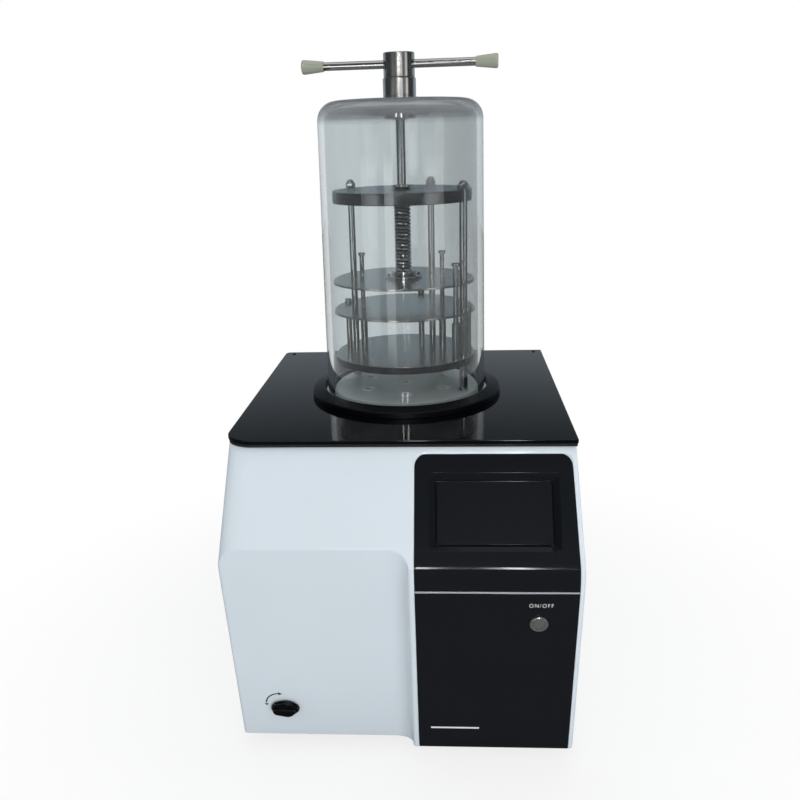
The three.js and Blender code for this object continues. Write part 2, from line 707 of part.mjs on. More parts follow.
function panelMount(x, z, isLeft) {
  const mount = new THREE.Group();
  mount.position.set(x, frontPoint(z, isLeft), z);
  mount.rotation.x = frontTilt;
  return mount;
}

function makeButton() {
  const mount = panelMount(buttonX, BUTTON_Z, false);
  const hole = BUTTON_CAP_RADIUS + BUTTON_CLEARANCE;
  const floor = -BUTTON_BARREL_LENGTH;
  const ring = turned([
    [hole, floor + 4], [BUTTON_BARREL_RADIUS, floor + 4], [BUTTON_BARREL_RADIUS, GAP],
    [BUTTON_RING_RADIUS, GAP], [BUTTON_RING_RADIUS, BUTTON_PROUD - 1],
    [BUTTON_RING_RADIUS - 1.2, BUTTON_PROUD],
    [hole + 1, BUTTON_PROUD], [hole, BUTTON_PROUD - 1],
  ]);
  mount.add(piece('power_button_ring', ring, LOOKS.steel));
  const face = BUTTON_PROUD - 0.6;
  const cap = turned([
    [0, floor + 8], [BUTTON_CAP_RADIUS, floor + 8], [BUTTON_CAP_RADIUS, face - 0.5],
    [BUTTON_CAP_RADIUS - 0.6, face], [0, face],
  ]);
  mount.add(piece('power_button_cap', cap, LOOKS.steel));
  return mount;
}

function lobedOutline(radius, depth, count, oval) {
  const points = [];
  const steps = count * 6;
  for (let i = 0; i < steps; i += 1) {
    const angle = (i / steps) * 2 * Math.PI;
    const r = radius - depth * (0.5 - 0.5 * Math.cos(count * angle));
    points.push([r * Math.cos(angle), oval * r * Math.sin(angle)]);
  }
  return shapeOf(points);
}

function makeDrainValve() {
  const mount = panelMount(knobX, KNOB_Z, true);
  const lip = 1.2;
  const grip = KNOB_HEIGHT + KNOB_GRIP;
  const half = KNOB_RADIUS - 4;
  const knob = unite(
    solid(prism(lobedOutline(KNOB_RADIUS, 0, KNOB_LOBES, KNOB_OVAL), lip, lip + KNOB_SKIRT)),
    solid(prism(lobedOutline(KNOB_RADIUS - 0.6, 2, KNOB_LOBES, KNOB_OVAL), lip, KNOB_HEIGHT)),
    solid(block(-half, half, -2.5, 2.5, KNOB_HEIGHT - 1, grip)),
  ).subtract(solid(bore(VALVE_STEM_RADIUS + SHAFT_CLEARANCE, 0, KNOB_HEIGHT - 2)));
  mount.add(piece('drain_knob', knob, LOOKS.plastic));
  const inner = -WALL - GAP;
  const valve = unite(
    solid(rod(VALVE_STEM_RADIUS, inner - 2, KNOB_HEIGHT - 3)),
    solid(rod(VALVE_BODY_RADIUS, inner - VALVE_BODY_LENGTH, inner, 20)),
    solid(rod(VALVE_BODY_RADIUS / 2, inner - VALVE_BODY_LENGTH - VALVE_TAIL, inner - 1)),
  );
  mount.add(piece('drain_valve_body', valve, LOOKS.brass));
  return mount;
}

function makeDrainHose() {
  const depth = WALL + 2 * GAP + VALVE_BODY_LENGTH + VALVE_TAIL;
  const inward = new THREE.Vector3(0, Math.cos(panelSlide), Math.sin(panelSlide));
  const end = new THREE.Vector3(knobX, frontPoint(KNOB_Z, true), KNOB_Z).addScaledVector(inward, depth);
  const start = new THREE.Vector3(0, 0, potBottom - POT_SPIGOT_LENGTH - GAP);
  const drop = new THREE.Vector3(0, 0, -(start.z - end.z) * 0.6);
  const run = start.distanceTo(end) * 0.4;
  const path = new THREE.CubicBezierCurve3(
    start,
    start.clone().add(drop),
    end.clone().addScaledVector(inward, run),
    end,
  );
  const section = new THREE.Shape().absarc(0, 0, HOSE_RADIUS, 0, 2 * Math.PI);
  const geometry = new THREE.ExtrudeGeometry(section, { steps: 18, extrudePath: path, curveSegments: 4 });
  return piece('drain_hose', geometry, LOOKS.silicone);
}

// ---- Top plate ----
function plateOutline(inset, holeRadius) {
  const left = -PLATE_WIDTH / 2 + inset;
  const right = PLATE_WIDTH / 2 - inset;
  const front = plateFront + inset;
  const rear = plateRear - inset;
  const fl = PLATE_CORNER_FRONT_LEFT - inset;
  const rl = PLATE_CORNER_REAR_LEFT - inset;
  const r = PLATE_CORNER_RIGHT - inset / 2;
  const outline = shapeOf([
    ...arc(left + fl, front + fl, fl, 180, 270, 10),
    ...arc(right - r, front + r, r, 270, 360, 3),
    ...arc(right - r, rear - r, r, 0, 90, 3),
    ...arc(left + rl, rear - rl, rl, 90, 180, 5),
  ]);
  outline.holes.push(new THREE.Path().absarc(0, 0, holeRadius, 0, 2 * Math.PI));
  return outline;
}

function makeTopPlate() {
  const hole = POT_RADIUS + POT_WALL + 1;
  const frame = prism(plateOutline(FRAME_INSET, hole), frameBottom, frameBottom + FRAME_THICKNESS, 24);
  const glass = prism(plateOutline(0, hole), glassBottom, plateTop, 24);
  return [piece('top_frame', frame, LOOKS.plastic), piece('top_plate', glass, LOOKS.blackGlass)];
}

// ---- Chamber base and cold trap ----
function portCutter(clearance) {
  const cutter = bore(PORT_PIPE_RADIUS + clearance, 0, housingRear);
  return solid(place(cutter, 0, housingRear, PORT_Z, Math.PI / 2));
}

function makeChamberBase() {
  const foot = plateTop + GAP;
  const collar = turned([
    [COLLAR_BORE, foot], [COLLAR_RADIUS, foot], [COLLAR_RADIUS, foot + COLLAR_WALL_HEIGHT],
    [COLLAR_RADIUS - 1.8, foot + COLLAR_WALL_HEIGHT + 1.2], [COLLAR_BORE + 1.5, foot + COLLAR_HEIGHT],
    [COLLAR_BORE, foot + COLLAR_HEIGHT],
  ], ROUND);
  const sealInner = JAR_BASE_RADIUS - JAR_WALL - 2.6;
  const seal = turned([
    [sealInner, sealBottom], [COLLAR_BORE - 1.2, sealBottom],
    [COLLAR_BORE - 1.2, sealTop], [sealInner, sealTop],
  ], ROUND);
  const rimOuter = sealInner - 0.6;
  let cover = solid(turned([
    [0, coverBottom], [rimOuter - COVER_RIM, coverBottom], [rimOuter - COVER_RIM, flangeTop + GAP],
    [rimOuter, flangeTop + GAP], [rimOuter, coverBottom], [COVER_RADIUS, coverBottom],
    [COVER_RADIUS, coverTop - 0.8], [COVER_RADIUS - 0.8, coverTop], [0, coverTop],
  ], ROUND));
  const holes = [[0, 0]];
  for (let i = 0; i < COVER_HOLE_COUNT; i += 1) {
    holes.push(onCircle(COVER_HOLE_CIRCLE, COVER_HOLE_START + (i * 360) / COVER_HOLE_COUNT));
  }
  for (const [x, y] of holes) {
    cover = cover.subtract(solid(bore(COVER_HOLE_RADIUS, coverBottom - 5, coverTop + 5).translate(x, y, 0)));
  }
  return [
    piece('chamber_collar', collar, LOOKS.rubber),
    piece('chamber_seal', seal, LOOKS.silicone),
    piece('trap_cover', cover, LOOKS.coverGrey),
  ];
}

function makeColdTrap() {
  const outer = POT_RADIUS + POT_WALL;
  const floor = potBottom + POT_WALL;
  const pot = solid(turned([
    [POT_SPIGOT_BORE, potBottom - POT_SPIGOT_LENGTH], [POT_SPIGOT_RADIUS, potBottom - POT_SPIGOT_LENGTH],
    [POT_SPIGOT_RADIUS, potBottom], [outer, potBottom],
    [outer, flangeBottom], [POT_FLANGE_RADIUS, flangeBottom],
    [POT_FLANGE_RADIUS, flangeTop], [POT_RADIUS, flangeTop], [POT_RADIUS, floor], [POT_SPIGOT_BORE, floor],
  ], ROUND)).subtract(portCutter(GAP));

  const jacketInner = outer + 0.5;
  const jacketOuter = jacketInner + INSULATION_THICKNESS;
  const jacketBottom = potBottom - POT_SPIGOT_LENGTH + 3;
  const jacketTop = frameBottom - 4;
  const jacket = solid(turned([
    [POT_SPIGOT_RADIUS + 0.6, jacketBottom], [jacketOuter, jacketBottom], [jacketOuter, jacketTop],
    [jacketInner, jacketTop], [jacketInner, potBottom - 0.5], [POT_SPIGOT_RADIUS + 0.6, potBottom - 0.5],
  ], ROUND)).subtract(portCutter(GAP));
  return [
    piece('cold_trap_pot', pot, LOOKS.steel),
    piece('trap_coil', makeCoil(), LOOKS.copper),
    piece('trap_insulation', jacket, LOOKS.foam),
  ];
}

class Helix extends THREE.Curve {
  constructor(radius, turns, pitch, start) {
    super();
    Object.assign(this, { radius, turns, pitch, start });
  }

  getPoint(t, target = new THREE.Vector3()) {
    const angle = t * this.turns * 2 * Math.PI;
    const z = this.start + t * this.turns * this.pitch;
    return target.set(this.radius * Math.cos(angle), this.radius * Math.sin(angle), z);
  }
}

function makeCoil() {
  const radius = POT_RADIUS * Math.cos(Math.PI / ROUND) - COIL_TUBE / 2 - GAP;
  const start = potBottom + POT_WALL + COIL_TUBE / 2 + GAP + 1;
  const path = new Helix(radius, COIL_TURNS, COIL_PITCH, start);
  const section = new THREE.Shape().absarc(0, 0, COIL_TUBE / 2, 0, 2 * Math.PI);
  return new THREE.ExtrudeGeometry(section, { steps: COIL_TURNS * 16, extrudePath: path, curveSegments: 3 });
}

// ---- Bell jar and its gland ----
function makeJar() {
  const foot = 0;
  const crown = JAR_HEIGHT;
  const shoulder = crown - JAR_CROWN_RISE;
  const ceiling = crown - JAR_TOP_THICKNESS;
  const neck = GLAND_NECK_RADIUS + GAP;
  const innerTop = JAR_SHOULDER_RADIUS - JAR_WALL;
  const innerFoot = JAR_BASE_RADIUS - JAR_WALL;
  const profile = [
    [innerFoot, foot], [JAR_BASE_RADIUS, foot],
    ...arc(JAR_SHOULDER_RADIUS - JAR_SHOULDER_ROUND, shoulder - JAR_SHOULDER_ROUND,
      JAR_SHOULDER_ROUND, 0, 90, 5),
    [GLAND_RADIUS + 6, crown - 0.4], [GLAND_RADIUS + 1, crown], [neck, crown], [neck, ceiling],
    ...arc(innerTop - JAR_INNER_ROUND, ceiling - JAR_INNER_ROUND, JAR_INNER_ROUND, 90, 0, 3),
  ];
  const jar = piece('bell_jar', turned(profile, 64), LOOKS.acrylic);
  jar.position.z = jarBase;
  return jar;
}

function makeGland() {
  const hole = SHAFT_RADIUS + SHAFT_CLEARANCE;
  const nutTop = jarCeiling - GAP;
  const neckEnd = nutTop - GLAND_NUT_HEIGHT - 1;
  const body = turned([
    [hole, neckEnd], [GLAND_NECK_RADIUS, neckEnd], [GLAND_NECK_RADIUS, glandBottom],
    [GLAND_RADIUS, glandBottom], [GLAND_RADIUS, glandTop - 1],
    [GLAND_RADIUS - 1, glandTop], [hole, glandTop],
  ]);
  const nutBore = GLAND_NECK_RADIUS + GAP;
  const nut = turned([
    [nutBore, nutTop - GLAND_NUT_HEIGHT], [GLAND_NUT_RADIUS - 1, nutTop - GLAND_NUT_HEIGHT],
    [GLAND_NUT_RADIUS, nutTop - GLAND_NUT_HEIGHT + 1], [GLAND_NUT_RADIUS, nutTop], [nutBore, nutTop],
  ]);
  return [piece('gland_body', body, LOOKS.steel), piece('gland_nut', nut, LOOKS.steel)];
}

function makeHandle() {
  const group = new THREE.Group();
  group.rotation.z = rad(HANDLE_TURN);
  const barBore = solid(place(bore(BAR_RADIUS + GAP, -60, 60), 0, 0, barLevel, 0, Math.PI / 2));
  const hub = solid(turned([
    [0, hubBottom], [HUB_RADIUS, hubBottom], [HUB_RADIUS, hubTop - 1.5],
    [HUB_RADIUS - 1.5, hubTop], [0, hubTop],
  ])).subtract(barBore).subtract(solid(bore(SHAFT_RADIUS + SHAFT_CLEARANCE, hubBottom - 5, barLevel)));
  group.add(piece('handle_hub', hub, LOOKS.steel));

  const barHalf = HANDLE_REACH - CAP_BASE - 2 * GAP;
  const lying = place(rod(BAR_RADIUS, -barHalf, barHalf), 0, 0, 0, 0, Math.PI / 2);
  const bar = piece('handle_bar', lying, LOOKS.steel);
  bar.position.z = barLevel;
  group.add(bar);
  for (const [name, side] of [['handle_cap_left', -1], ['handle_cap_right', 1]]) {
    const hole = BAR_RADIUS + GAP;
    const body = turned([
      [0, CAP_LENGTH], [CAP_OUTER_RADIUS - 1, CAP_LENGTH], [CAP_OUTER_RADIUS, CAP_LENGTH - 1.2],
      [CAP_INNER_RADIUS, 0], [hole, 0], [hole, CAP_LENGTH - CAP_BASE], [0, CAP_LENGTH - CAP_BASE],
    ], FINE);
    const cap = piece(name, body, LOOKS.grip);
    cap.position.set(side * (HANDLE_REACH - CAP_LENGTH), 0, barLevel);
    cap.rotation.y = (side * Math.PI) / 2;
    group.add(cap);
  }
  const shaft = unite(
    solid(rod(SHAFT_RADIUS, hexTop, shaftTop)),
    solid(prism(hexagon(HEX_FLATS), shaftBottom, hexTop + 1)),
  );
  group.add(piece('drive_shaft', shaft, LOOKS.steel));
  return group;
}

// ---- Stoppering rack ----
function drilled(body, radius, circle, azimuths) {
  return azimuths.reduce((result, azimuth) => {
    const [x, y] = onCircle(circle, azimuth);
    return result.subtract(solid(bore(radius, 0, hubTop).translate(x, y, 0)));
  }, body);
}

// A slot open at the rim takes each guide rod.
function notched(body, radius, low, high) {
  return ROD_AZIMUTHS.reduce((result, azimuth) => {
    const slot = unite(
      solid(bore(radius, low, high).translate(ROD_CIRCLE, 0, 0)),
      solid(block(ROD_CIRCLE, ROD_CIRCLE + 5 * radius, -radius, radius, low, high)),
    );
    return result.subtract(slot.rotate([0, 0, azimuth]));
  }, body);
}

const longAzimuths = ROD_AZIMUTHS.map((azimuth) => azimuth - PIN_OFFSET);
const shortAzimuths = ROD_AZIMUTHS.map((azimuth) => azimuth + PIN_OFFSET);

function makePlates() {
  const bottom = drilled(solid(rod(SHELF_RADIUS, bottomPlateLow, bottomPlateTop, ROUND)),
    ROD_RADIUS + SLIDE_CLEARANCE, ROD_CIRCLE, ROD_AZIMUTHS);
  let top = solid(turned([
    [0, topPlateLow], [TOP_PLATE_RADIUS - 2, topPlateLow], [TOP_PLATE_RADIUS, topPlateLow + 2],
    [TOP_PLATE_RADIUS, topPlateTop - 1], [TOP_PLATE_RADIUS - 1, topPlateTop], [0, topPlateTop],
  ], ROUND));
  top = notched(top, ROD_RADIUS + SLIDE_CLEARANCE, topPlateLow - 5, topPlateTop - ROD_SHOULDER_DEPTH);
  top = notched(top, ROD_NECK_RADIUS + SLIDE_CLEARANCE, topPlateLow - 5, topPlateTop + 5);
  const nutOuter = SCREW_RADIUS + SLIDE_CLEARANCE + NUT_WALL;
  top = top.subtract(solid(bore(nutOuter + GAP, topPlateLow - 5, topPlateTop + 5, FINE)));
  const nutInner = SCREW_RADIUS + SLIDE_CLEARANCE;
  const nut = turned([
    [nutInner, topPlateLow], [nutOuter, topPlateLow], [nutOuter, topPlateTop], [nutInner, topPlateTop],
  ]);
  let middle = solid(rod(SHELF_RADIUS, middleLow, middleTop, ROUND));
  middle = drilled(middle, ROD_RADIUS + SLIDE_CLEARANCE, ROD_CIRCLE, ROD_AZIMUTHS);
  middle = drilled(middle, LONG_PIN_RADIUS + SLIDE_CLEARANCE, PIN_CIRCLE, longAzimuths);
  middle = drilled(middle, SHORT_SCREW_RADIUS + GAP, PIN_CIRCLE, shortAzimuths);
  return [
    piece('rack_bottom_plate', bottom, LOOKS.shelfSteel),
    piece('rack_top_plate', top, LOOKS.shelfSteel),
    piece('lead_nut', nut, LOOKS.brass),
    piece('middle_shelf', middle, LOOKS.shelfSteel),
  ];
}

function makeRods() {
  return ROD_AZIMUTHS.flatMap((azimuth, index) => {
    const [x, y] = onCircle(ROD_CIRCLE, azimuth);
    const shoulder = topPlateTop - ROD_SHOULDER_DEPTH - GAP;
    const nutSeat = topPlateTop + GAP;
    const rodTop = nutSeat + ACORN_HEX_HEIGHT;
    const body = turned([
      [0, rodFoot], [ROD_FOOT_RADIUS, rodFoot], [ROD_FOOT_RADIUS, bottomPlateLow - GAP],
      [ROD_RADIUS, bottomPlateLow - GAP], [ROD_RADIUS, shoulder], [ROD_NECK_RADIUS, shoulder],
      [ROD_NECK_RADIUS, rodTop], [0, rodTop],
    ], COARSE);
    const guide = piece(`guide_rod_${index + 1}`, body, LOOKS.steel);
    guide.position.set(x, y, 0);

    const domeRadius = ACORN_FLATS / 2 - 0.5;
    const dome = turned([
      [0, nutSeat + ACORN_HEX_HEIGHT - 1], [domeRadius, nutSeat + ACORN_HEX_HEIGHT - 1],
      ...arc(0, 0, 1, 0, 90, 4).map(([c, s]) => [
        domeRadius * c, nutSeat + ACORN_HEX_HEIGHT + ACORN_DOME_HEIGHT * s,
      ]),
    ], COARSE);
    const cap = unite(solid(prism(hexagon(ACORN_FLATS), nutSeat, nutSeat + ACORN_HEX_HEIGHT)), solid(dome))
      .subtract(solid(bore(ROD_NECK_RADIUS + GAP, nutSeat - 5, rodTop + GAP)));
    const nut = piece(`acorn_nut_${index + 1}`, cap, LOOKS.steel);
    nut.position.set(x, y, 0);
    return [guide, nut];
  });
}

function makePins() {
  const stand = bottomPlateTop + GAP;
  const headSeat = pressTop + PRESS_RISE + PRESS_STOP;
  const sleeveTop = bottomPlateTop + LONG_SLEEVE_LENGTH;
  const long = longAzimuths.map((azimuth, index) => {
    const body = turned([
      [0, stand], [LONG_SLEEVE_RADIUS, stand], [LONG_SLEEVE_RADIUS, sleeveTop], [LONG_PIN_RADIUS, sleeveTop],
      [LONG_PIN_RADIUS, headSeat], [LONG_SLEEVE_RADIUS, headSeat],
      [LONG_SLEEVE_RADIUS, headSeat + LONG_HEAD_HEIGHT], [0, headSeat + LONG_HEAD_HEIGHT],
    ], COARSE);
    const pin = piece(`long_pin_${index + 1}`, body, LOOKS.steel);
    const [x, y] = onCircle(PIN_CIRCLE, azimuth);
    pin.position.set(x, y, 0);
    return pin;
  });
  const short = shortAzimuths.map((azimuth, index) => {
    const headFoot = middleTop + GAP;
    const body = turned([
      [0, stand], [SHORT_PIN_RADIUS, stand], [SHORT_PIN_RADIUS, middleLow - GAP],
      [SHORT_SCREW_RADIUS, middleLow - GAP], [SHORT_SCREW_RADIUS, headFoot], [SHORT_HEAD_RADIUS, headFoot],
      [SHORT_HEAD_RADIUS, headFoot + SHORT_HEAD_HEIGHT], [0, headFoot + SHORT_HEAD_HEIGHT],
    ], COARSE);
    const pin = piece(`short_pin_${index + 1}`, body, LOOKS.steel);
    const [x, y] = onCircle(PIN_CIRCLE, azimuth);
    pin.position.set(x, y, 0);
    return pin;
  });
  return [...long, ...short];
}

function makePress() {
  let shelf = solid(rod(SHELF_RADIUS, pressLow, pressTop, ROUND));
  shelf = drilled(shelf, ROD_RADIUS + SLIDE_CLEARANCE, ROD_CIRCLE, ROD_AZIMUTHS);
  shelf = drilled(shelf, LONG_PIN_RADIUS + SLIDE_CLEARANCE, PIN_CIRCLE, longAzimuths);
  const foot = pressTop + GAP;
  const rim = foot + FLANGE_THICKNESS;
  const well = PIVOT_RADIUS + SLIDE_CLEARANCE;
  const flange = turned([
    [0, foot], [FLANGE_RADIUS, foot], [FLANGE_RADIUS, rim - 0.5], [FLANGE_RADIUS - 0.5, rim],
    [well, rim], [well, foot + PIVOT_FLOOR], [0, foot + PIVOT_FLOOR],
  ]);
  return [
    piece('press_shelf', shelf, LOOKS.shelfSteel),
    piece('thrust_flange', flange, LOOKS.steel),
    piece('lead_screw', makeLeadScrew(foot + PIVOT_FLOOR + GAP), LOOKS.steel),
  ];
}

function makeLeadScrew(pivotFoot) {
  const thrustTop = screwBottom + THRUST_COLLAR_HEIGHT;
  const body = turned([
    [0, pivotFoot], [PIVOT_RADIUS, pivotFoot],
    [PIVOT_RADIUS, screwBottom], [THRUST_COLLAR_RADIUS, screwBottom],
    [THRUST_COLLAR_RADIUS, thrustTop], [SCREW_RADIUS, thrustTop], [SCREW_RADIUS, screwTop],
    [STOP_COLLAR_RADIUS, screwTop], [STOP_COLLAR_RADIUS, screwTop + STOP_COLLAR_HEIGHT],
    [0, screwTop + STOP_COLLAR_HEIGHT],
  ]);
  const above = screwTop + STOP_COLLAR_HEIGHT + 5;
  return solid(body)
    .subtract(solid(bore(SHAFT_RADIUS + SHAFT_CLEARANCE, shaftBottom + HEX_GRIP, above)))
    .subtract(solid(prism(hexagon(HEX_FLATS + 2 * SLIDE_CLEARANCE), socketFloor, above)));
}

// ---- Machinery ----
function makeCompressor() {
  const r = COMPRESSOR_RADIUS;
  const h = COMPRESSOR_HEIGHT;
  const foot = panFloor + GAP;
  const ring = r + COMPRESSOR_FOOT;
  const seam = foot + h / 2;
  const seamTop = seam + COMPRESSOR_SEAM;
  const bead = r + COMPRESSOR_SEAM;
  const dome = foot + h - COMPRESSOR_DOME;
  const body = turned([
    [0, foot], [ring, foot], [ring, foot + 4], [r - 8, foot + 5], [r, foot + 22], [r, seam],
    [bead, seam], [bead, seamTop], [r, seamTop], [r, dome],
    [r * 0.85, dome + COMPRESSOR_DOME * 0.63], [r * 0.5, dome + COMPRESSOR_DOME * 0.93], [0, foot + h],
  ], FINE);
  const compressor = piece('compressor', body, LOOKS.castBlack);
  compressor.position.set(compressorX, COMPRESSOR_Y, 0);
  return compressor;
}

function makeCondenser() {
  const pitch = CONDENSER_WIDTH / CONDENSER_FINS;
  const fin = pitch * FIN_SHARE;
  const points = [[0, 0]];
  for (let i = 0; i < CONDENSER_FINS; i += 1) {
    const x = i * pitch;
    points.push([x, CONDENSER_DEPTH], [x + fin, CONDENSER_DEPTH]);
    points.push([x + fin, FIN_SPINE], [x + pitch, FIN_SPINE]);
  }
  points.push([CONDENSER_WIDTH, 0]);
  const foot = panFloor + GAP;
  const body = prism(shapeOf(points), foot, foot + CONDENSER_HEIGHT);
  const condenser = piece('condenser', body, LOOKS.darkSteel);
  condenser.position.set(CONDENSER_X - CONDENSER_WIDTH / 2, condenserFront, 0);
  return condenser;
}

function makeFan() {
  const half = CONDENSER_HEIGHT / 2;
  const outline = roundedRectangle(2 * half, 2 * half, 8);
  outline.holes.push(new THREE.Path().absarc(0, 0, FAN_RADIUS + FAN_TIP_CLEARANCE, 0, 2 * Math.PI));
  const armFace = SHROUD_DEPTH - FAN_ARM_THICKNESS;
  const reach = FAN_RADIUS + FAN_TIP_CLEARANCE + FAN_ARM_THICKNESS;
  const arm = FAN_ARM / 2;
  const shroud = unite(
    solid(prism(outline, 0, SHROUD_DEPTH, 12)),
    solid(block(-reach, reach, -arm, arm, armFace, SHROUD_DEPTH)),
    solid(block(-arm, arm, -reach, reach, armFace, SHROUD_DEPTH)),
    solid(rod(FAN_HUB_RADIUS, armFace, SHROUD_DEPTH)),
    solid(rod(FAN_SPINDLE_RADIUS, -4, SHROUD_DEPTH - 1)),
  );
  const [chord, blade] = [FAN_CHORD / 2, BLADE_THICKNESS / 2];
  const bladeBody = () => place(block(FAN_HUB_RADIUS - 2, FAN_RADIUS, -blade, blade, -chord, chord),
    0, 0, 3, rad(FAN_PITCH));
  let rotor = solid(rod(FAN_HUB_RADIUS, -3, armFace - 2 * GAP));
  for (let i = 0; i < FAN_BLADES; i += 1) {
    rotor = rotor.add(solid(place(bladeBody(), 0, 0, 0, 0, 0, (i * 2 * Math.PI) / FAN_BLADES)));
  }
  rotor = rotor.subtract(solid(bore(FAN_SPINDLE_RADIUS + SHAFT_CLEARANCE, -20, 40)));
  const mount = new THREE.Group();
  mount.position.set(CONDENSER_X, shroudFront, fanLevel);
  mount.rotation.x = -Math.PI / 2;
  mount.add(piece('fan_shroud', shroud, LOOKS.plastic));
  mount.add(piece('fan_rotor', rotor, LOOKS.castBlack));
  return mount;
}

function makePorts() {
  const start = POT_RADIUS + POT_WALL / 2;
  const hole = PORT_PIPE_RADIUS - PORT_PIPE_WALL;
  const seat = housingRear + GAP;
  const ring = PORT_PIPE_RADIUS + PORT_RING;
  const rim = portFace - PORT_FLANGE_THICKNESS + 2;
  const pipe = turned([
    [hole, start], [PORT_PIPE_RADIUS, start], [PORT_PIPE_RADIUS, seat], [ring, seat],
    [ring, seat + PORT_RING_THICKNESS], [PORT_PIPE_RADIUS, seat + PORT_RING_THICKNESS],
    [PORT_PIPE_RADIUS, rim - PORT_TAPER], [PORT_FLANGE_RADIUS, rim],
    [PORT_FLANGE_RADIUS, portFace], [hole, portFace],
  ], FINE);
  const port = piece('vacuum_port', place(pipe, 0, 0, 0, -Math.PI / 2), LOOKS.steel);
  port.position.z = PORT_Z;

  const [w, h] = [INLET_WIDTH / 2, INLET_HEIGHT / 2];
  const [innerW, innerH] = [w - INLET_LIP, h - INLET_LIP];
  const face = seat + INLET_PLATE;
  const back = face - INLET_DEPTH;
  let inlet = unite(
    solid(block(-w, w, back, face, -h, h)),
    solid(block(-w - INLET_EAR, w + INLET_EAR, seat, face, -h - INLET_LIP, h + INLET_LIP)),
  ).subtract(solid(block(-innerW, innerW, back + 2 * INLET_LIP, face + CUT_REACH, -innerH, innerH)));
  const tip = face - INLET_PIN_RECESS;
  for (const [x, z] of INLET_PINS) {
    inlet = inlet.add(solid(block(x - 1, x + 1, tip - INLET_PIN_LENGTH, tip, z - 2.5, z + 2.5)));
  }
  const socket = piece('power_inlet', inlet, LOOKS.plastic);
  socket.position.set(inletX, 0, INLET_Z);
  return [port, socket];
}

// ---- Whole machine, its box centred on the origin ----
const machine = new THREE.Group();
const frontReach = beltFront - TRIM_PROUD;
const rearReach = Math.max(portFace, plateRear);
machine.position.y = -(frontReach + rearReach) / 2;
machine.add(
  ...makeHousing(),
  ...makeFeet(),
  makeScreen(),
  makeButton(),
  makeDrainValve(),
  makeDrainHose(),
  ...makeTopPlate(),
  ...makeChamberBase(),
  ...makeColdTrap(),
  makeJar(),
  ...makeGland(),
  makeHandle(),
  ...makePlates(),
  ...makeRods(),
  ...makePins(),
  ...makePress(),
  makeCompressor(),
  makeCondenser(),
  makeFan(),
  ...makePorts(),
);

export default machine;
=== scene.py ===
"""Finished look of a bench-top freeze dryer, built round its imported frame. Metres, +Z up, front to -Y."""

import json
import logging
import math
from dataclasses import dataclass
from enum import Enum
from typing import ClassVar, Protocol, Sequence

import bmesh
import bpy
from mathutils import Matrix, Vector
from mathutils.geometry import tessellate_polygon

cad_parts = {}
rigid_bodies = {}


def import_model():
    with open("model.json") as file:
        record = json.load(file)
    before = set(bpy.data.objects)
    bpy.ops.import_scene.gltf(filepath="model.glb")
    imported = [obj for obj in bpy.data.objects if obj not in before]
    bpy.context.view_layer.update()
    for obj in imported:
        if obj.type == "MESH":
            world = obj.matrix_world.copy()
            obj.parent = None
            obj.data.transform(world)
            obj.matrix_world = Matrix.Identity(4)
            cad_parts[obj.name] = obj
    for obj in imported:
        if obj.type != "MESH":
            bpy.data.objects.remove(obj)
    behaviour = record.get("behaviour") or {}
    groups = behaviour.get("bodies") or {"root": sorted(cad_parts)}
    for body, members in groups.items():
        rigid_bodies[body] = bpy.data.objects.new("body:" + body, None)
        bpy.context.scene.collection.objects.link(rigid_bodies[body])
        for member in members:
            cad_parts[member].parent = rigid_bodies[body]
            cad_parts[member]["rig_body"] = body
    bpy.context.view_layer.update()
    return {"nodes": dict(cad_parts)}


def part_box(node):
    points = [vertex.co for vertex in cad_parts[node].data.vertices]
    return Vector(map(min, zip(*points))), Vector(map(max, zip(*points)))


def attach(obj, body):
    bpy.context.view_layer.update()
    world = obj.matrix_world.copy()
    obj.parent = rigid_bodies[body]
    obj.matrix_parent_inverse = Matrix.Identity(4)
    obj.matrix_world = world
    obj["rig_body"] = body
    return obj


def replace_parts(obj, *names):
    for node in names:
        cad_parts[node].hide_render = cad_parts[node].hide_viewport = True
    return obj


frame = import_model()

MM = 0.001
LOG = logging.getLogger("freeze_dryer")
LARGE_TURN = 160  # faces round the largest turned pieces

Point = tuple[float, float]
Corner = tuple[float, float, float]
Colour = tuple[float, float, float]
Loop = list[Point]
Profile = list[Point]
Piece = bpy.types.Object
Shape = bmesh.types.BMesh
Ring = Sequence[bmesh.types.BMVert]


# ---------------------------------------------------------------- reading the frame
def low(node: str) -> Vector:
    """Lowest corner of a CAD node."""
    return Vector(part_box(node)[0])


def high(node: str) -> Vector:
    """Highest corner of a CAD node."""
    return Vector(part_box(node)[1])


def middle(node: str) -> Vector:
    """Centre of a CAD node's box."""
    return (low(node) + high(node)) / 2


def width(node: str) -> float:
    """Extent of a CAD node along X."""
    return high(node).x - low(node).x


def extent(node: str) -> tuple[float, float, float]:
    """Foot, top and half the width of a CAD node."""
    return low(node).z, high(node).z, width(node) / 2


AXIS: Point = (middle("bell_jar").x, middle("bell_jar").y)


def body_of(node: str) -> str:
    """Name of the CAD body that a node rides on."""
    return frame["nodes"][node]["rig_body"]


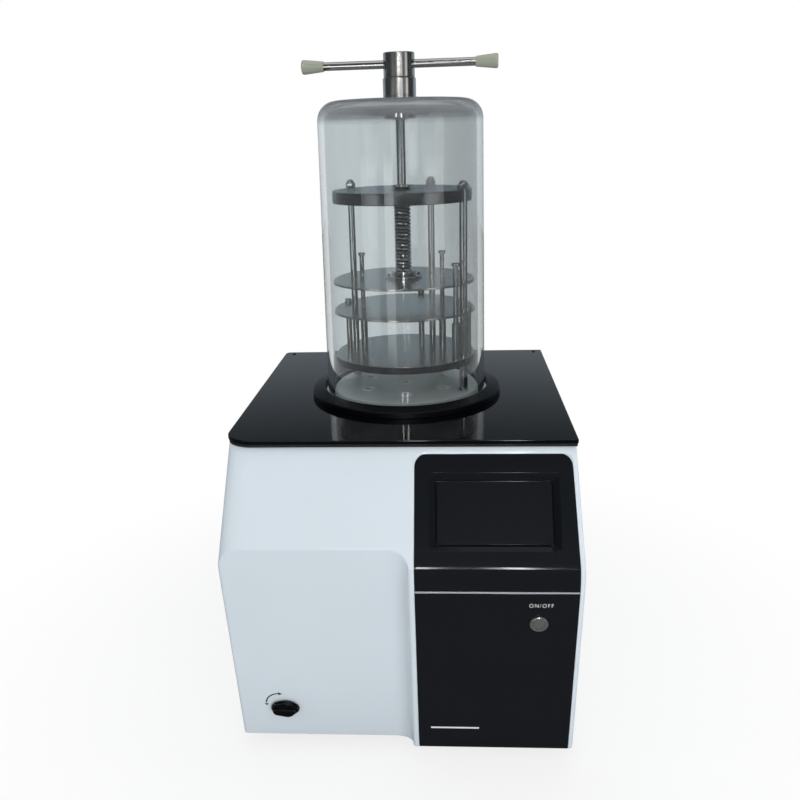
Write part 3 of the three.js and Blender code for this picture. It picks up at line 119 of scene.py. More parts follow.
# ---------------------------------------------------------------- node graphs
class Socket:
    """A node socket that takes part in arithmetic.

    Args:
        graph: the graph that new Math nodes go into.
        output: the output socket that carries the value.
    """

    def __init__(self, graph: "Graph", output: bpy.types.NodeSocket) -> None:
        self.graph = graph
        self.output = output

    def _math(self, operation: str, *values: "Socket | float") -> "Socket":
        """Adds a Math node with this operation on the values."""
        return self.graph.node("ShaderNodeMath", dict(enumerate(values)), operation=operation)

    def __add__(self, other: "Socket | float") -> "Socket":
        """Sum."""
        return self._math("ADD", self, other)

    def __radd__(self, other: float) -> "Socket":
        """Sum, with the number first."""
        return self._math("ADD", other, self)

    def __sub__(self, other: "Socket | float") -> "Socket":
        """Difference."""
        return self._math("SUBTRACT", self, other)

    def __mul__(self, other: "Socket | float") -> "Socket":
        """Product."""
        return self._math("MULTIPLY", self, other)

    def __truediv__(self, other: "Socket | float") -> "Socket":
        """Quotient."""
        return self._math("DIVIDE", self, other)

    def over(self, threshold: float) -> "Socket":
        """1 where the value is over the threshold, else 0."""
        return self._math("GREATER_THAN", self, threshold)

    def under(self, threshold: float) -> "Socket":
        """1 where the value is under the threshold, else 0."""
        return self._math("LESS_THAN", self, threshold)

    def pulse(self, centre: float, half: float, soft: float) -> "Socket":
        """1 within half of the centre, fading to 0 over soft."""
        return self._math("ABSOLUTE", self - centre).ramp(half, half + soft, 1.0, 0.0)

    def largest(self, other: "Socket | float") -> "Socket":
        """The larger of two values."""
        return self._math("MAXIMUM", self, other)

    def ramp(self, start: float, end: float, first: float = 0.0, last: float = 1.0) -> "Socket":
        """Smooth change from first to last as the value goes from start to end."""
        inputs = {"Value": self, "From Min": start, "From Max": end, "To Min": first, "To Max": last}
        return self.graph.node("ShaderNodeMapRange", inputs, interpolation_type="SMOOTHSTEP")


class Graph:
    """Adds nodes to a shader or geometry tree.

    Args:
        tree: the node tree to write into.
    """

    def __init__(self, tree: bpy.types.NodeTree) -> None:
        self.tree = tree

    def node(
        self, kind: str, inputs: dict | None = None, output: int | str = 0, **settings: object
    ) -> Socket:
        """Adds one node.

        Args:
            kind: the node's type name.
            inputs: values or Sockets by input name or index.
            output: name or index of the output wanted.
            **settings: node properties, set before the inputs.

        Returns:
            The wanted output.
        """
        made = self.tree.nodes.new(kind)
        for name, value in settings.items():
            setattr(made, name, value)
        for key, value in (inputs or {}).items():
            self.feed(made.inputs[key], value)
        return Socket(self, made.outputs[output]) if len(made.outputs) else Socket(self, None)

    def feed(self, target: bpy.types.NodeSocket, value: object) -> None:
        """Links a Socket to target, or sets target's own value."""
        if isinstance(value, Socket):
            self.tree.links.new(value.output, target)
        else:
            target.default_value = value

    def mix(self, share: Socket | float, first: object, second: object) -> Socket:
        """Colour mix of first and second by share."""
        made = self.tree.nodes.new("ShaderNodeMix")
        made.data_type = "RGBA"
        for target, value in ((made.inputs[0], share), (made.inputs[6], first), (made.inputs[7], second)):
            self.feed(target, value)
        return Socket(self, made.outputs[2])

    def scaled(self, vector: Socket, factors: Sequence[float], offset: Sequence[float] = (0, 0, 0)) -> Socket:
        """A vector moved by offset, then scaled by factors."""
        moved = self.node("ShaderNodeVectorMath", {0: vector, 1: tuple(offset)}, operation="ADD")
        return self.node("ShaderNodeVectorMath", {0: moved, 1: tuple(factors)}, operation="MULTIPLY")

    def part(self, vector: Socket, axis: str) -> Socket:
        """One component of a vector."""
        return self.node("ShaderNodeSeparateXYZ", {0: vector}, output=axis)

    def place(self) -> Socket:
        """Where a point of the surface lies."""
        return self.node("ShaderNodeTexCoord", output="Object")

    def ray(self, question: str) -> Socket:
        """What is known of the ray that asks."""
        return self.node("ShaderNodeLightPath", output=question)

    def blend(self, share: Socket, first: Socket, second: Socket) -> Socket:
        """Shader mix of first and second by share."""
        return self.node("ShaderNodeMixShader", {0: share, 1: first, 2: second})

    def noise(self, vector: Socket, scale: float, detail: float = 3.0, roughness: float = 0.5) -> Socket:
        """Noise between 0 and 1."""
        inputs = {"Vector": vector, "Scale": scale, "Detail": detail, "Roughness": roughness}
        return self.node("ShaderNodeTexNoise", inputs)


# ---------------------------------------------------------------- finishes
class Grain(Enum):
    """Direction and kind of a surface's fine marks, as scale factors of its noise."""

    EVEN = (1.0, 1.0, 1.0)
    ALONG_X = (0.02, 1.0, 1.0)
    ALONG_Y = (1.0, 0.02, 1.0)
    ALONG_Z = (1.0, 1.0, 0.02)
    TURNED = (0.0, 0.0, 1.0)


@dataclass(frozen=True)
class Finish:
    """A surface finish made of noise on Object coordinates.

    Args:
        name: the material's name.
        colour: base colour, linear.
        roughness: mean roughness.
        metallic: 1 for bare metal.
        grain: kind of fine marks.
        grain_scale: marks per metre.
        fade: how far the colour wanders, as a share of it.
        polish: how far the roughness wanders.
        relief: height of the marks in metres.
        coat: weight of a clear coat.
        coat_roughness: roughness of that coat.
        ior: index of refraction.
    """

    name: str
    colour: Colour
    roughness: float
    metallic: float = 0.0
    grain: Grain = Grain.EVEN
    grain_scale: float = 600.0
    fade: float = 0.04
    polish: float = 0.05
    relief: float = 0.00002
    coat: float = 0.0
    coat_roughness: float = 0.05
    ior: float = 1.5
    made: ClassVar[dict[str, bpy.types.Material]] = {}

    def material(self) -> bpy.types.Material:
        """The finish's material, built on first use."""
        if self.name not in Finish.made:
            material = bpy.data.materials.new(self.name)
            material.use_nodes = True
            material.node_tree.nodes.clear()
            graph = Graph(material.node_tree)
            shader = self.surface(graph)
            graph.node("ShaderNodeOutputMaterial", {"Surface": shader})
            Finish.made[self.name] = material
        return Finish.made[self.name]

    def marks(self, graph: Graph) -> Socket:
        """The fine marks, between 0 and 1."""
        place = graph.place()
        if self.grain is Grain.TURNED:
            centred = graph.scaled(place, (1, 1, 0), (-AXIS[0], -AXIS[1], 0))
            radius = graph.node("ShaderNodeVectorMath", {0: centred}, output="Value", operation="LENGTH")
            level = graph.part(place, "Z")
            place = graph.node("ShaderNodeCombineXYZ", {"X": radius, "Z": level})
            return graph.noise(place, self.grain_scale * 3, 2.0)
        return graph.noise(graph.scaled(place, self.grain.value), self.grain_scale, 3.0)

    def surface(self, graph: Graph) -> Socket:
        """The finished surface shader."""
        place = graph.place()
        cloud = graph.noise(place, 9.0, 3.0)
        marks = self.marks(graph)
        shade = 1 - self.fade + (cloud * 0.6 + marks * 0.4) * (2 * self.fade)
        dark = (0.0, 0.0, 0.0, 1.0)
        colour = graph.mix(shade * 0.5, dark, tuple(2 * c for c in self.colour) + (1.0,))
        rough = self.roughness - self.polish + (cloud * 0.5 + marks * 0.5) * (2 * self.polish)
        bump = graph.node("ShaderNodeBump", {"Height": marks, "Distance": self.relief, "Strength": 0.6})
        inputs = {
            "Base Color": colour,
            "Roughness": rough,
            "Metallic": self.metallic,
            "IOR": self.ior,
            "Coat Weight": self.coat,
            "Coat Roughness": self.coat_roughness,
            "Normal": bump,
        }
        return graph.node("ShaderNodeBsdfPrincipled", inputs)


@dataclass(frozen=True)
class ClearFinish(Finish):
    """Clear acrylic with faint upright drawing marks and painted shade that deepens its tone towards the
    right; it lets lamps through.

    Args:
        tint: colour of a wall looked through.
        thick: levels over which the thick crown takes on its grey painted shade.
        crown_shade: share of grey painted shade in the thick crown, standing in for light's long path through
            the acrylic, from 0 to 1.
    """

    tint: Colour = (0.8, 0.83, 0.84)
    thick: tuple[float, float] = (high("bell_jar").z - 0.034, high("bell_jar").z - 0.014)
    crown_shade: float = 0.38

    def surface(self, graph: Graph) -> Socket:
        """The finished surface shader."""
        place = graph.place()
        streaks = graph.noise(graph.scaled(place, (1.0, 1.0, 0.03)), 26.0, 2.0)
        clouds = graph.noise(place, 6.0, 2.0)
        across = graph.part(place, "X")
        level = graph.part(place, "Z")
        # painted shade: the X term makes the wall paler to the left and deeper in tone to the right
        share = (streaks * 0.7 + clouds * 0.3 - across * 3.0).ramp(0.2, 0.8)
        pale_streak_and_lit_side = tuple(min(1.0, c * 1.08) for c in self.tint) + (1.0,)
        deep = tuple(c * 0.87 for c in self.tint) + (1.0,)
        inputs = {
            "Base Color": graph.mix(share, deep, pale_streak_and_lit_side),
            "Roughness": self.roughness,
            "IOR": self.ior,
            "Transmission Weight": 1.0,
        }
        glass = graph.node("ShaderNodeBsdfPrincipled", inputs)
        # painted shade: a grey diffuse blended into the thick crown stands in for light's long path through
        # the acrylic
        shade_grey = graph.mix(streaks, (0.21, 0.215, 0.22, 1), (0.28, 0.29, 0.3, 1))
        shade_diffuse = graph.node("ShaderNodeBsdfDiffuse", {"Color": shade_grey})
        crown = level.ramp(*self.thick, 0.0, self.crown_shade)
        wall = graph.blend(crown, glass, shade_diffuse)
        faint = tuple(c**0.15 for c in self.tint) + (1.0,)
        open_way = graph.node("ShaderNodeBsdfTransparent", {"Color": faint})
        lamp_ray = graph.ray("Is Shadow Ray")
        return graph.blend(lamp_ray, wall, open_way)


PAINT = Finish("powder_coat_pale", (0.63, 0.69, 0.735), 0.34, grain_scale=900, relief=0.00001, coat=0.25)
GLOSS_BLACK = Finish("black_panel_gloss", (0.0066, 0.0079, 0.0101), 0.09, fade=0.15, relief=4e-6)
BLACK_GLASS = Finish(
    "black_plate_glass", (0.0012, 0.0014, 0.002), 0.06, fade=0.2, polish=0.03, relief=1e-6, ior=1.47
)
SCREEN = Finish("display_glass", (0.008, 0.009, 0.011), 0.12, fade=0.1, polish=0.03, relief=1e-6)
TRIM = Finish("trim_aluminium", (0.42, 0.45, 0.48), 0.35, 0.15, Grain.ALONG_X, 1200)
STEEL = Finish("ground_steel", (0.62, 0.62, 0.61), 0.15, 1.0, Grain.ALONG_Z, 1500, fade=0.1, polish=0.06)
TURNED_STEEL = Finish("turned_steel", (0.58, 0.58, 0.57), 0.2, 1.0, Grain.TURNED, 900, fade=0.1, polish=0.06)
SHELF_STEEL = Finish("shelf_steel", (0.72, 0.68, 0.63), 0.18, 1.0, Grain.ALONG_X, 900, fade=0.1, polish=0.05)
DARK_DISC = Finish("edge_steel", (0.17, 0.18, 0.185), 0.2, 1.0, Grain.TURNED, 700, fade=0.12, polish=0.05)
CHROME = Finish("bright_chrome", (0.7, 0.7, 0.7), 0.08, 1.0, Grain.EVEN, 300, polish=0.03, relief=1e-6)
RING_STEEL = Finish("ring_steel", (0.68, 0.68, 0.68), 0.2, 0.92, Grain.EVEN, 300, polish=0.03, relief=1e-6)
BUTTON_FACE = Finish("button_steel", (0.19, 0.19, 0.185), 0.45, 0.55, Grain.ALONG_X, 1500, fade=0.15)
SCREW_STEEL = Finish("screw_steel", (0.5, 0.5, 0.5), 0.25, 1.0, Grain.EVEN, 900, polish=0.08)
DARK_SCREW = Finish("screw_black", (0.03, 0.03, 0.032), 0.4, 0.5, Grain.EVEN, 900)
COLLAR = Finish("collar_black", (0.001, 0.0013, 0.0022), 0.4, 0.0, Grain.TURNED, 500, fade=0.2, ior=1.3)
RUBBER = Finish("foot_rubber", (0.012, 0.012, 0.013), 0.75, relief=0.00005)
SILICONE = Finish("seal_silicone", (0.55, 0.57, 0.58), 0.45)
COVER = Finish("cover_steel", (0.78, 0.81, 0.80), 0.3, 0.1, Grain.TURNED, 500, fade=0.06, polish=0.04)
# white bushes: partly their own white, partly painted highlight round the cover's openings
BUSH_WHITE_AND_HIGHLIGHT = Finish("bush_white_and_highlight", (0.96, 0.97, 0.96), 0.4)
PLASTIC = Finish("moulded_black", (0.013, 0.013, 0.015), 0.42, relief=0.00003)
KNOB_BLACK = Finish("knob_black", (0.0012, 0.0016, 0.0025), 0.14, fade=0.2, ior=1.42)
CAP_PLASTIC = Finish("grip_cap_grey", (0.30, 0.32, 0.25), 0.42, fade=0.06, relief=0.00003)
BRASS = Finish("machined_brass", (0.45, 0.32, 0.14), 0.3, 1.0, Grain.TURNED, 700)
COPPER = Finish("drawn_copper", (0.50, 0.24, 0.14), 0.3, 1.0, Grain.EVEN, 200, fade=0.15)
FOAM = Finish("insulation_foam", (0.025, 0.026, 0.028), 0.95, grain_scale=300, relief=0.0004)
ENAMEL = Finish("compressor_enamel", (0.012, 0.012, 0.013), 0.3, grain_scale=500, coat=0.3)
FINS = Finish("fin_aluminium", (0.45, 0.46, 0.47), 0.35, 1.0, Grain.ALONG_Z, 800)
ZINC = Finish("zinc_sheet", (0.33, 0.34, 0.35), 0.4, 0.9, Grain.EVEN, 60, fade=0.15)
WHITE_PRINT = Finish("print_white", (0.75, 0.76, 0.77), 0.5, relief=0.0)
DARK_PRINT = Finish("print_dark", (0.004, 0.009, 0.014), 0.5, relief=0.0)
# painted shade: this acrylic is paler to the left, deeper to the right and grey in its thick crown
ACRYLIC = ClearFinish("clear_acrylic_painted_shade", (0.68, 0.72, 0.73), 0.0, ior=1.49, tint=(0.68, 0.72, 0.73))


# ---------------------------------------------------------------- outlines and profiles
def arc(centre: Point, radius: float, start: float, end: float, steps: int) -> Loop:
    """Points on an arc, angles in degrees, both ends included."""
    angles = [math.radians(start + (end - start) * i / steps) for i in range(steps + 1)]
    return [(centre[0] + radius * math.cos(a), centre[1] + radius * math.sin(a)) for a in angles]


def rounded(points: Sequence[Corner], closed: bool = True, steps: int = 5) -> Loop:
    """A polygon with rounded corners.

    Args:
        points: corners as (x, y, radius).
        closed: whether the last corner joins the first.
        steps: segments in each rounded corner.

    Returns:
        The points of the rounded line.
    """
    made: Loop = []
    count = len(points)
    for i, (x, y, radius) in enumerate(points):
        inner = closed or 0 < i < count - 1
        if radius <= 0 or not inner:
            made.append((x, y))
            continue
        here = Vector((x, y))
        to_last = (Vector(points[i - 1][:2]) - here).normalized()
        to_next = (Vector(points[(i + 1) % count][:2]) - here).normalized()
        half = to_last.angle(to_next) / 2
        if half > math.pi / 2 - 1e-3:
            made.append((x, y))
            continue
        reach = radius / math.tan(half)
        centre = here + (to_last + to_next).normalized() * (radius / math.sin(half))
        first = here + to_last * reach - centre
        last = here + to_next * reach - centre
        start = math.atan2(first.y, first.x)
        sweep = (math.atan2(last.y, last.x) - start + math.pi) % (2 * math.pi) - math.pi
        made += arc((centre.x, centre.y), radius, math.degrees(start), math.degrees(start + sweep), steps)
    return made


def eased(reach: float, angles: Sequence[float]) -> list[float]:
    """Distances from a quarter round's start, for angles in degrees."""
    return [reach * (1 - math.cos(math.radians(angle))) for angle in angles]


def on_circle(radius: float, azimuth: float) -> Point:
    """Point at an azimuth in degrees on a circle round the chamber's axis."""
    angle = math.radians(azimuth)
    return (AXIS[0] + radius * math.cos(angle), AXIS[1] + radius * math.sin(angle))


class Outline(Protocol):
    """A flat closed outline that can be drawn in."""

    def loop(self, inset: float = 0.0) -> Loop:
        """The outline drawn in by inset."""


@dataclass(frozen=True)
class Circle:
    """A round outline.

    Args:
        centre: its middle.
        radius: its radius.
        steps: points round it.
    """

    centre: Point
    radius: float
    steps: int = 96

    def loop(self, inset: float = 0.0) -> Loop:
        """The outline drawn in by inset."""
        return arc(self.centre, self.radius - inset, 0, 360, self.steps)[:-1]


@dataclass(frozen=True)
class Polygon:
    """A convex outline with rounded corners, listed counter-clockwise.

    Args:
        corners: (x, y, radius) of each corner.
        steps: segments in each rounded corner.
    """

    corners: tuple[Corner, ...]
    steps: int = 8

    def loop(self, inset: float = 0.0) -> Loop:
        """The outline drawn in by inset, its corners' centres kept."""
        count = len(self.corners)
        moved = []
        for i, (x, y, radius) in enumerate(self.corners):
            here = Vector((x, y))
            along = (here - Vector(self.corners[i - 1][:2])).normalized()
            ahead = (Vector(self.corners[(i + 1) % count][:2]) - here).normalized()
            inward = Vector((-along.y, along.x)) + Vector((-ahead.y, ahead.x))
            spot = here + inward * (inset / max(1e-6, 1 + along.dot(ahead)))
            moved.append((spot.x, spot.y, max(radius - inset, 0.00002) if radius > 0 else 0.0))
        return rounded(moved, True, self.steps)


def box_outline(x0: float, x1: float, y0: float, y1: float, radius: float, steps: int = 8) -> Polygon:
    """A rectangle with equal rounded corners."""
    return Polygon(((x0, y0, radius), (x1, y0, radius), (x1, y1, radius), (x0, y1, radius)), steps)


def hexagon(centre: Point, reach: float, radius: float, steps: int) -> Polygon:
    """A hexagon whose corners are at a distance from its centre."""
    return Polygon(tuple((x, y, radius) for x, y in arc(centre, reach, 0, 300, 5)), steps)


# ---------------------------------------------------------------- mesh tools
def finished(name: str, shape: Shape, finish: Finish, sharp: float = 32.0) -> Piece:
    """Makes a mesh object with smooth faces and its finish.

    Args:
        name: the piece's name.
        shape: the mesh, which is freed.
        finish: its finish.
        sharp: edges over this angle in degrees stay sharp.

    Returns:
        The new object.
    """
    mesh = bpy.data.meshes.new(name)
    shape.to_mesh(mesh)
    shape.free()
    mesh.polygons.foreach_set("use_smooth", [True] * len(mesh.polygons))
    mesh.set_sharp_from_angle(angle=math.radians(sharp))
    mesh.materials.append(finish.material())
    piece = bpy.data.objects.new(name, mesh)
    bpy.context.scene.collection.objects.link(piece)
    return even(piece)


def even(piece: Piece) -> Piece:
    """Keeps large faces flat where they run into small rounded edges."""
    normals = piece.modifiers.new("even_shading", "WEIGHTED_NORMAL")
    normals.keep_sharp = True
    return piece


def tidy(shape: Shape, gap: float = 2e-6) -> Shape:
    """Merges doubles and turns the faces of closed shells outwards."""
    bmesh.ops.remove_doubles(shape, verts=shape.verts, dist=gap)
    bmesh.ops.dissolve_degenerate(shape, dist=gap / 4, edges=shape.edges)
    bmesh.ops.recalc_face_normals(shape, faces=shape.faces)
    return shape


def skin(rows: Sequence[Sequence[Vector]], closed: bool = False) -> Shape:
    """A grid of quads over rows of equal length, closed round if asked."""
    shape = bmesh.new()
    grid = [[shape.verts.new(point) for point in row] for row in rows]
    columns = len(grid[0])
    for lower, upper in zip(grid, grid[1:]):
        for i in range(columns if closed else columns - 1):
            j = (i + 1) % columns
            shape.faces.new((lower[i], lower[j], upper[j], upper[i]))
    return shape


def lathe(profile: Profile, centre: Point = AXIS, segments: int = 96) -> Shape:
    """Turns a profile of (radius, height) round an upright axis.

    Args:
        profile: starts and ends on the axis, or is a closed ring.
        centre: where the axis stands.
        segments: faces round the axis.

    Returns:
        The closed mesh.
    """
    points = list(profile) if profile[0][0] == 0 else list(profile) + [profile[0]]
    x, y = centre
    turns = [2 * math.pi * i / segments for i in range(segments)]
    rows = [[Vector((x + r * math.cos(a), y + r * math.sin(a), z)) for a in turns] for r, z in points]
    return tidy(skin(rows, closed=True))


def soft_levels(bottom: float, top: float, edge: float, steps: int = 3) -> list[Point]:
    """(inset, height) pairs of a body whose two rims are rounded."""
    angles = [math.pi / 2 * k / steps for k in range(steps + 1)]
    rise = [(edge * (1 - math.sin(angle)), edge * (1 - math.cos(angle))) for angle in angles]
    lower = [(inset, bottom + up) for inset, up in rise]
    return lower + [(inset, top - down) for inset, down in reversed(rise)]


def sides(shape: Shape, rings: Sequence[Ring]) -> None:
    """Joins each ring to the next with quads."""
    for first, second in zip(rings, rings[1:]):
        for i in range(len(first)):
            shape.faces.new((first[i - 1], first[i], second[i], second[i - 1]))


def cap(shape: Shape, loops: Sequence[Ring]) -> None:
    """Fills a flat face from its outer loop and the loops of its holes."""
    verts = [vert for loop in loops for vert in loop]
    for triangle in tessellate_polygon([[vert.co for vert in loop] for loop in loops]):
        shape.faces.new([verts[i] for i in triangle])


def plate(
    outer: Outline,
    holes: Sequence[Outline],
    bottom: float,
    top: float,
    edge: float,
    steps: int = 3,
) -> Shape:
    """A flat plate with rounded rims and holes.

    Args:
        outer: the plate's outline.
        holes: outlines of its holes.
        bottom: level of the under face.
        top: level of the upper face.
        edge: radius of the rims.
        steps: segments in each rim's rounding.

    Returns:
        The closed mesh.
    """
    levels = soft_levels(bottom, top, edge, steps)[::-1]
    shape = bmesh.new()
    rims = []
    for outline, sign in [(outer, 1)] + [(hole, -1) for hole in holes]:
        rings = [[shape.verts.new((x, y, z)) for x, y in outline.loop(sign * inset)] for inset, z in levels]
        sides(shape, rings)
        rims.append(rings)
    for end in (0, -1):
        cap(shape, [rings[end] for rings in rims])
    return tidy(shape)


def bar(radius: float, bottom: float, top: float, edge: float = 0.0004) -> Profile:
    """Profile of a round bar with softened ends."""
    corners = [(0, bottom, 0), (radius, bottom, edge), (radius, top, edge), (0, top, 0)]
    return rounded(corners, False, 3)


def placed(shape: Shape, matrix: Matrix) -> Shape:
    """The mesh carried to another place."""
    bmesh.ops.transform(shape, matrix=matrix, verts=shape.verts)
    return shape


def joined(*shapes: Shape) -> Shape:
    """Several meshes as one."""
    whole = shapes[0]
    for shape in shapes[1:]:
        mesh = bpy.data.meshes.new("part")
        shape.to_mesh(mesh)
        shape.free()
        whole.from_mesh(mesh)
        bpy.data.meshes.remove(mesh)
    return whole


def copied(node: str) -> Shape:
    """A merged copy of a CAD node's mesh with its flat faces whole."""
    shape = bmesh.new()
    shape.from_mesh(frame["nodes"][node].data)
    tidy(shape, 1e-5)
    bmesh.ops.dissolve_limit(shape, angle_limit=math.radians(0.6), verts=shape.verts, edges=shape.edges)
    return shape


def soften(piece: Piece, radius: float) -> Piece:
    """Rounds a piece's sharp edges with a bevel."""
    bevel = piece.modifiers.new("soft_edges", "BEVEL")
    bevel.width = radius
    bevel.segments = 3
    bevel.limit_method = "ANGLE"
    bevel.angle_limit = math.radians(35)
    piece.modifiers.move(len(piece.modifiers) - 1, 0)
    return piece


def thicken(piece: Piece, depth: float) -> Piece:
    """Gives an open skin a wall behind it."""
    wall = piece.modifiers.new("wall", "SOLIDIFY")
    wall.thickness = depth
    wall.offset = -1
    piece.modifiers.move(len(piece.modifiers) - 1, 0)
    return piece


def fit(piece: Piece, *nodes: str) -> Piece:
    """Lets a piece ride on a node's body and stand for the nodes."""
    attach(piece, body_of(nodes[0]))
    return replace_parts(piece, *nodes)


def turned(
    name: str,
    node: str,
    corners: Sequence[Corner],
    finish: Finish,
    steps: int = 3,
    segments: int = 96,
    centre: Point = AXIS,
) -> Piece:
    """A turned piece in a node's place.

    Args:
        name: the piece's name.
        node: the node that it stands for.
        corners: (radius, height, rounding) along its profile, a ring unless it starts on the axis.
        finish: its finish.
        steps: segments in each rounded corner.
        segments: faces round the axis.
        centre: where the axis stands.

    Returns:
        The fitted piece.
    """
    profile = rounded(corners, corners[0][0] > 0, steps)
    return fit(finished(name, lathe(profile, centre, segments), finish), node)


def extra(piece: Piece, node: str) -> Piece:
    """Lets an added piece ride with a node's body."""
    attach(piece, body_of(node))
    return piece


def dress(node: str, finish: Finish) -> None:
    """Gives a CAD node its finish."""
    mesh = frame["nodes"][node].data
    mesh.materials.clear()
    mesh.materials.append(finish.material())


# ---------------------------------------------------------------- stacks and repeats
def stack(outline: Outline, levels: Sequence[Point]) -> Shape:
    """A closed body from one outline drawn in by (inset, height) pairs, capped at both ends."""
    shape = bmesh.new()
    rings = [[shape.verts.new((x, y, z)) for x, y in outline.loop(inset)] for inset, z in levels]
    sides(shape, rings)
    shape.faces.new(rings[0])
    shape.faces.new(rings[-1])
    return tidy(shape)


class Repeat(Enum):
    """How copies of an item are laid out."""

    RING = "ring"
    ROW = "row"
    SPOTS = "spots"


class NodeTree:
    """A Geometry Nodes tree with named inputs, turned into a plain mesh when it is done.

    Args:
        name: name of the piece it makes.
        finish: finish of the result.
    """

    def __init__(self, name: str, finish: Finish) -> None:
        self.name = name
        self.finish = finish
        self.tree = bpy.data.node_groups.new(name + "_nodes", "GeometryNodeTree")
        self.graph = Graph(self.tree)
        self.values: dict[str, object] = {}
        self.tree.interface.new_socket("Geometry", in_out="INPUT", socket_type="NodeSocketGeometry")
        self.tree.interface.new_socket("Geometry", in_out="OUTPUT", socket_type="NodeSocketGeometry")
        self.source = self.tree.nodes.new("NodeGroupInput")

    def value(self, name: str, kind: str, amount: object) -> Socket:
        """Adds a named input and remembers what to set it to."""
        made = self.tree.interface.new_socket(name, in_out="INPUT", socket_type="NodeSocket" + kind)
        self.values[made.identifier] = amount
        return Socket(self.graph, self.source.outputs[name])

    def host(self) -> Socket:
        """The geometry that the modifier sits on."""
        return Socket(self.graph, self.source.outputs[0])

    def piece(self, geometry: Socket, spots: Sequence[Vector] = ()) -> Piece:
        """Ends the tree and bakes its result into a new object.

        Args:
            geometry: what the tree made.
            spots: points of the host mesh.

        Returns:
            A plain mesh object.
        """
        real = self.graph.node("GeometryNodeRealizeInstances", {"Geometry": geometry})
        inputs = {"Geometry": real, "Material": self.finish.material()}
        coated = self.graph.node("GeometryNodeSetMaterial", inputs)
        self.graph.node("NodeGroupOutput", {0: coated})
        base = bpy.data.meshes.new(self.name + "_host")
        base.from_pydata([tuple(spot) for spot in spots], [], [])
        piece = bpy.data.objects.new(self.name, base)
        bpy.context.scene.collection.objects.link(piece)
        modifier = piece.modifiers.new("nodes", "NODES")
        modifier.node_group = self.tree
        for identifier, amount in self.values.items():
            modifier[identifier] = amount
        evaluated = piece.evaluated_get(bpy.context.evaluated_depsgraph_get())
        mesh = bpy.data.meshes.new_from_object(evaluated)
        piece.modifiers.remove(modifier)
        piece.data = mesh
        bpy.data.meshes.remove(base)
        mesh.polygons.foreach_set("use_smooth", [True] * len(mesh.polygons))
        mesh.set_sharp_from_angle(angle=math.radians(35))
        return piece


def repeated(
    name: str,
    item: Piece,
    finish: Finish,
    layout: Repeat,
    count: int = 1,
    reach: float = 0.0,
    centre: Vector = Vector(),
    turn: float = 0.0,
    step: Vector = Vector((0, 0, 1)),
    spots: Sequence[Vector] = (),
) -> Piece:
    """Copies of an item laid out by Geometry Nodes.

    Args:
        name: name of the piece.
        item: what is repeated, made at the origin; it is removed.
        finish: its finish.
        layout: ring, row or given spots.
        count: number of copies in a ring or row.
        reach: radius of a ring.
        centre: middle of a ring or start of a row.
        turn: angle of the ring's first copy, in degrees.
        step: from one copy of a row to the next.
        spots: places of the copies.

    Returns:
        The piece, one mesh.
    """
    nodes = NodeTree(name, finish)
    graph = nodes.graph
    thing = nodes.value("Item", "Object", item)
    shape = graph.node("GeometryNodeObjectInfo", {"Object": thing}, output="Geometry")
    if layout is Repeat.SPOTS:
        points = nodes.host()
    elif layout is Repeat.ROW:
        inputs = {"Count": nodes.value("Count", "Int", count)}
        inputs["Start Location"] = nodes.value("Start", "Vector", centre)
        inputs["Offset"] = nodes.value("Step", "Vector", step)
        points = graph.node("GeometryNodeMeshLine", inputs)
    else:
        inputs = {"Vertices": nodes.value("Count", "Int", count)}
        inputs["Radius"] = nodes.value("Radius", "Float", reach)
        ring = graph.node("GeometryNodeMeshCircle", inputs)
        place = {"Geometry": ring, "Translation": nodes.value("Centre", "Vector", centre)}
        place["Rotation"] = nodes.value("Turn", "Vector", Vector((0, 0, math.radians(turn))))
        points = graph.node("GeometryNodeTransform", place)
    copies = graph.node("GeometryNodeInstanceOnPoints", {"Points": points, "Instance": shape})
    made = nodes.piece(copies, spots)
    bpy.data.objects.remove(item)
    return made


def helix(
    name: str, finish: Finish, radius: float, depth: float, foot: float, height: float, pitch: float
) -> Piece:
    """A screw thread's ridge, swept along a spiral by Geometry Nodes.

    Args:
        name: name of the piece.
        finish: its finish.
        radius: crest radius.
        depth: crest to root.
        foot: level of its lower end.
        height: length along the axis.
        pitch: rise of one turn.

    Returns:
        The ridge, one mesh on the chamber's axis.
    """
    nodes = NodeTree(name, finish)
    graph = nodes.graph
    root = nodes.value("Radius", "Float", radius - depth)
    spiral = {
        "Resolution": nodes.value("Steps", "Int", 28),
        "Rotations": nodes.value("Turns", "Float", height / pitch),
        "Start Radius": root,
        "End Radius": root,
        "Height": nodes.value("Height", "Float", height),
    }
    path = graph.node("GeometryNodeCurveSpiral", spiral)
    size = nodes.value("Depth", "Float", depth)
    section = graph.node("GeometryNodeCurvePrimitiveCircle", {"Resolution": 8, "Radius": size}, mode="RADIUS")
    swept = {"Curve": path, "Profile Curve": section, "Fill Caps": True}
    sweep = graph.node("GeometryNodeCurveToMesh", swept)
    place = {"Geometry": sweep, "Translation": nodes.value("Foot", "Vector", Vector((*AXIS, foot)))}
    return nodes.piece(graph.node("GeometryNodeTransform", place))


def cap_screw(radius: float, height: float, finish: Finish, matrix: Matrix = Matrix()) -> Piece:
    """A socket screw's head with its hexagonal recess, standing on the origin."""
    recess = hexagon((0, 0), radius * 0.55, 0.0, 1)
    shape = plate(Circle((0, 0), radius, 24), [recess], 0, height, radius * 0.14, 2)
    floor = stack(Circle((0, 0), radius * 0.6, 12), [(0, 0.0001), (0, height * 0.4)])
    return finished("screw_item", placed(joined(shape, floor), matrix), finish)


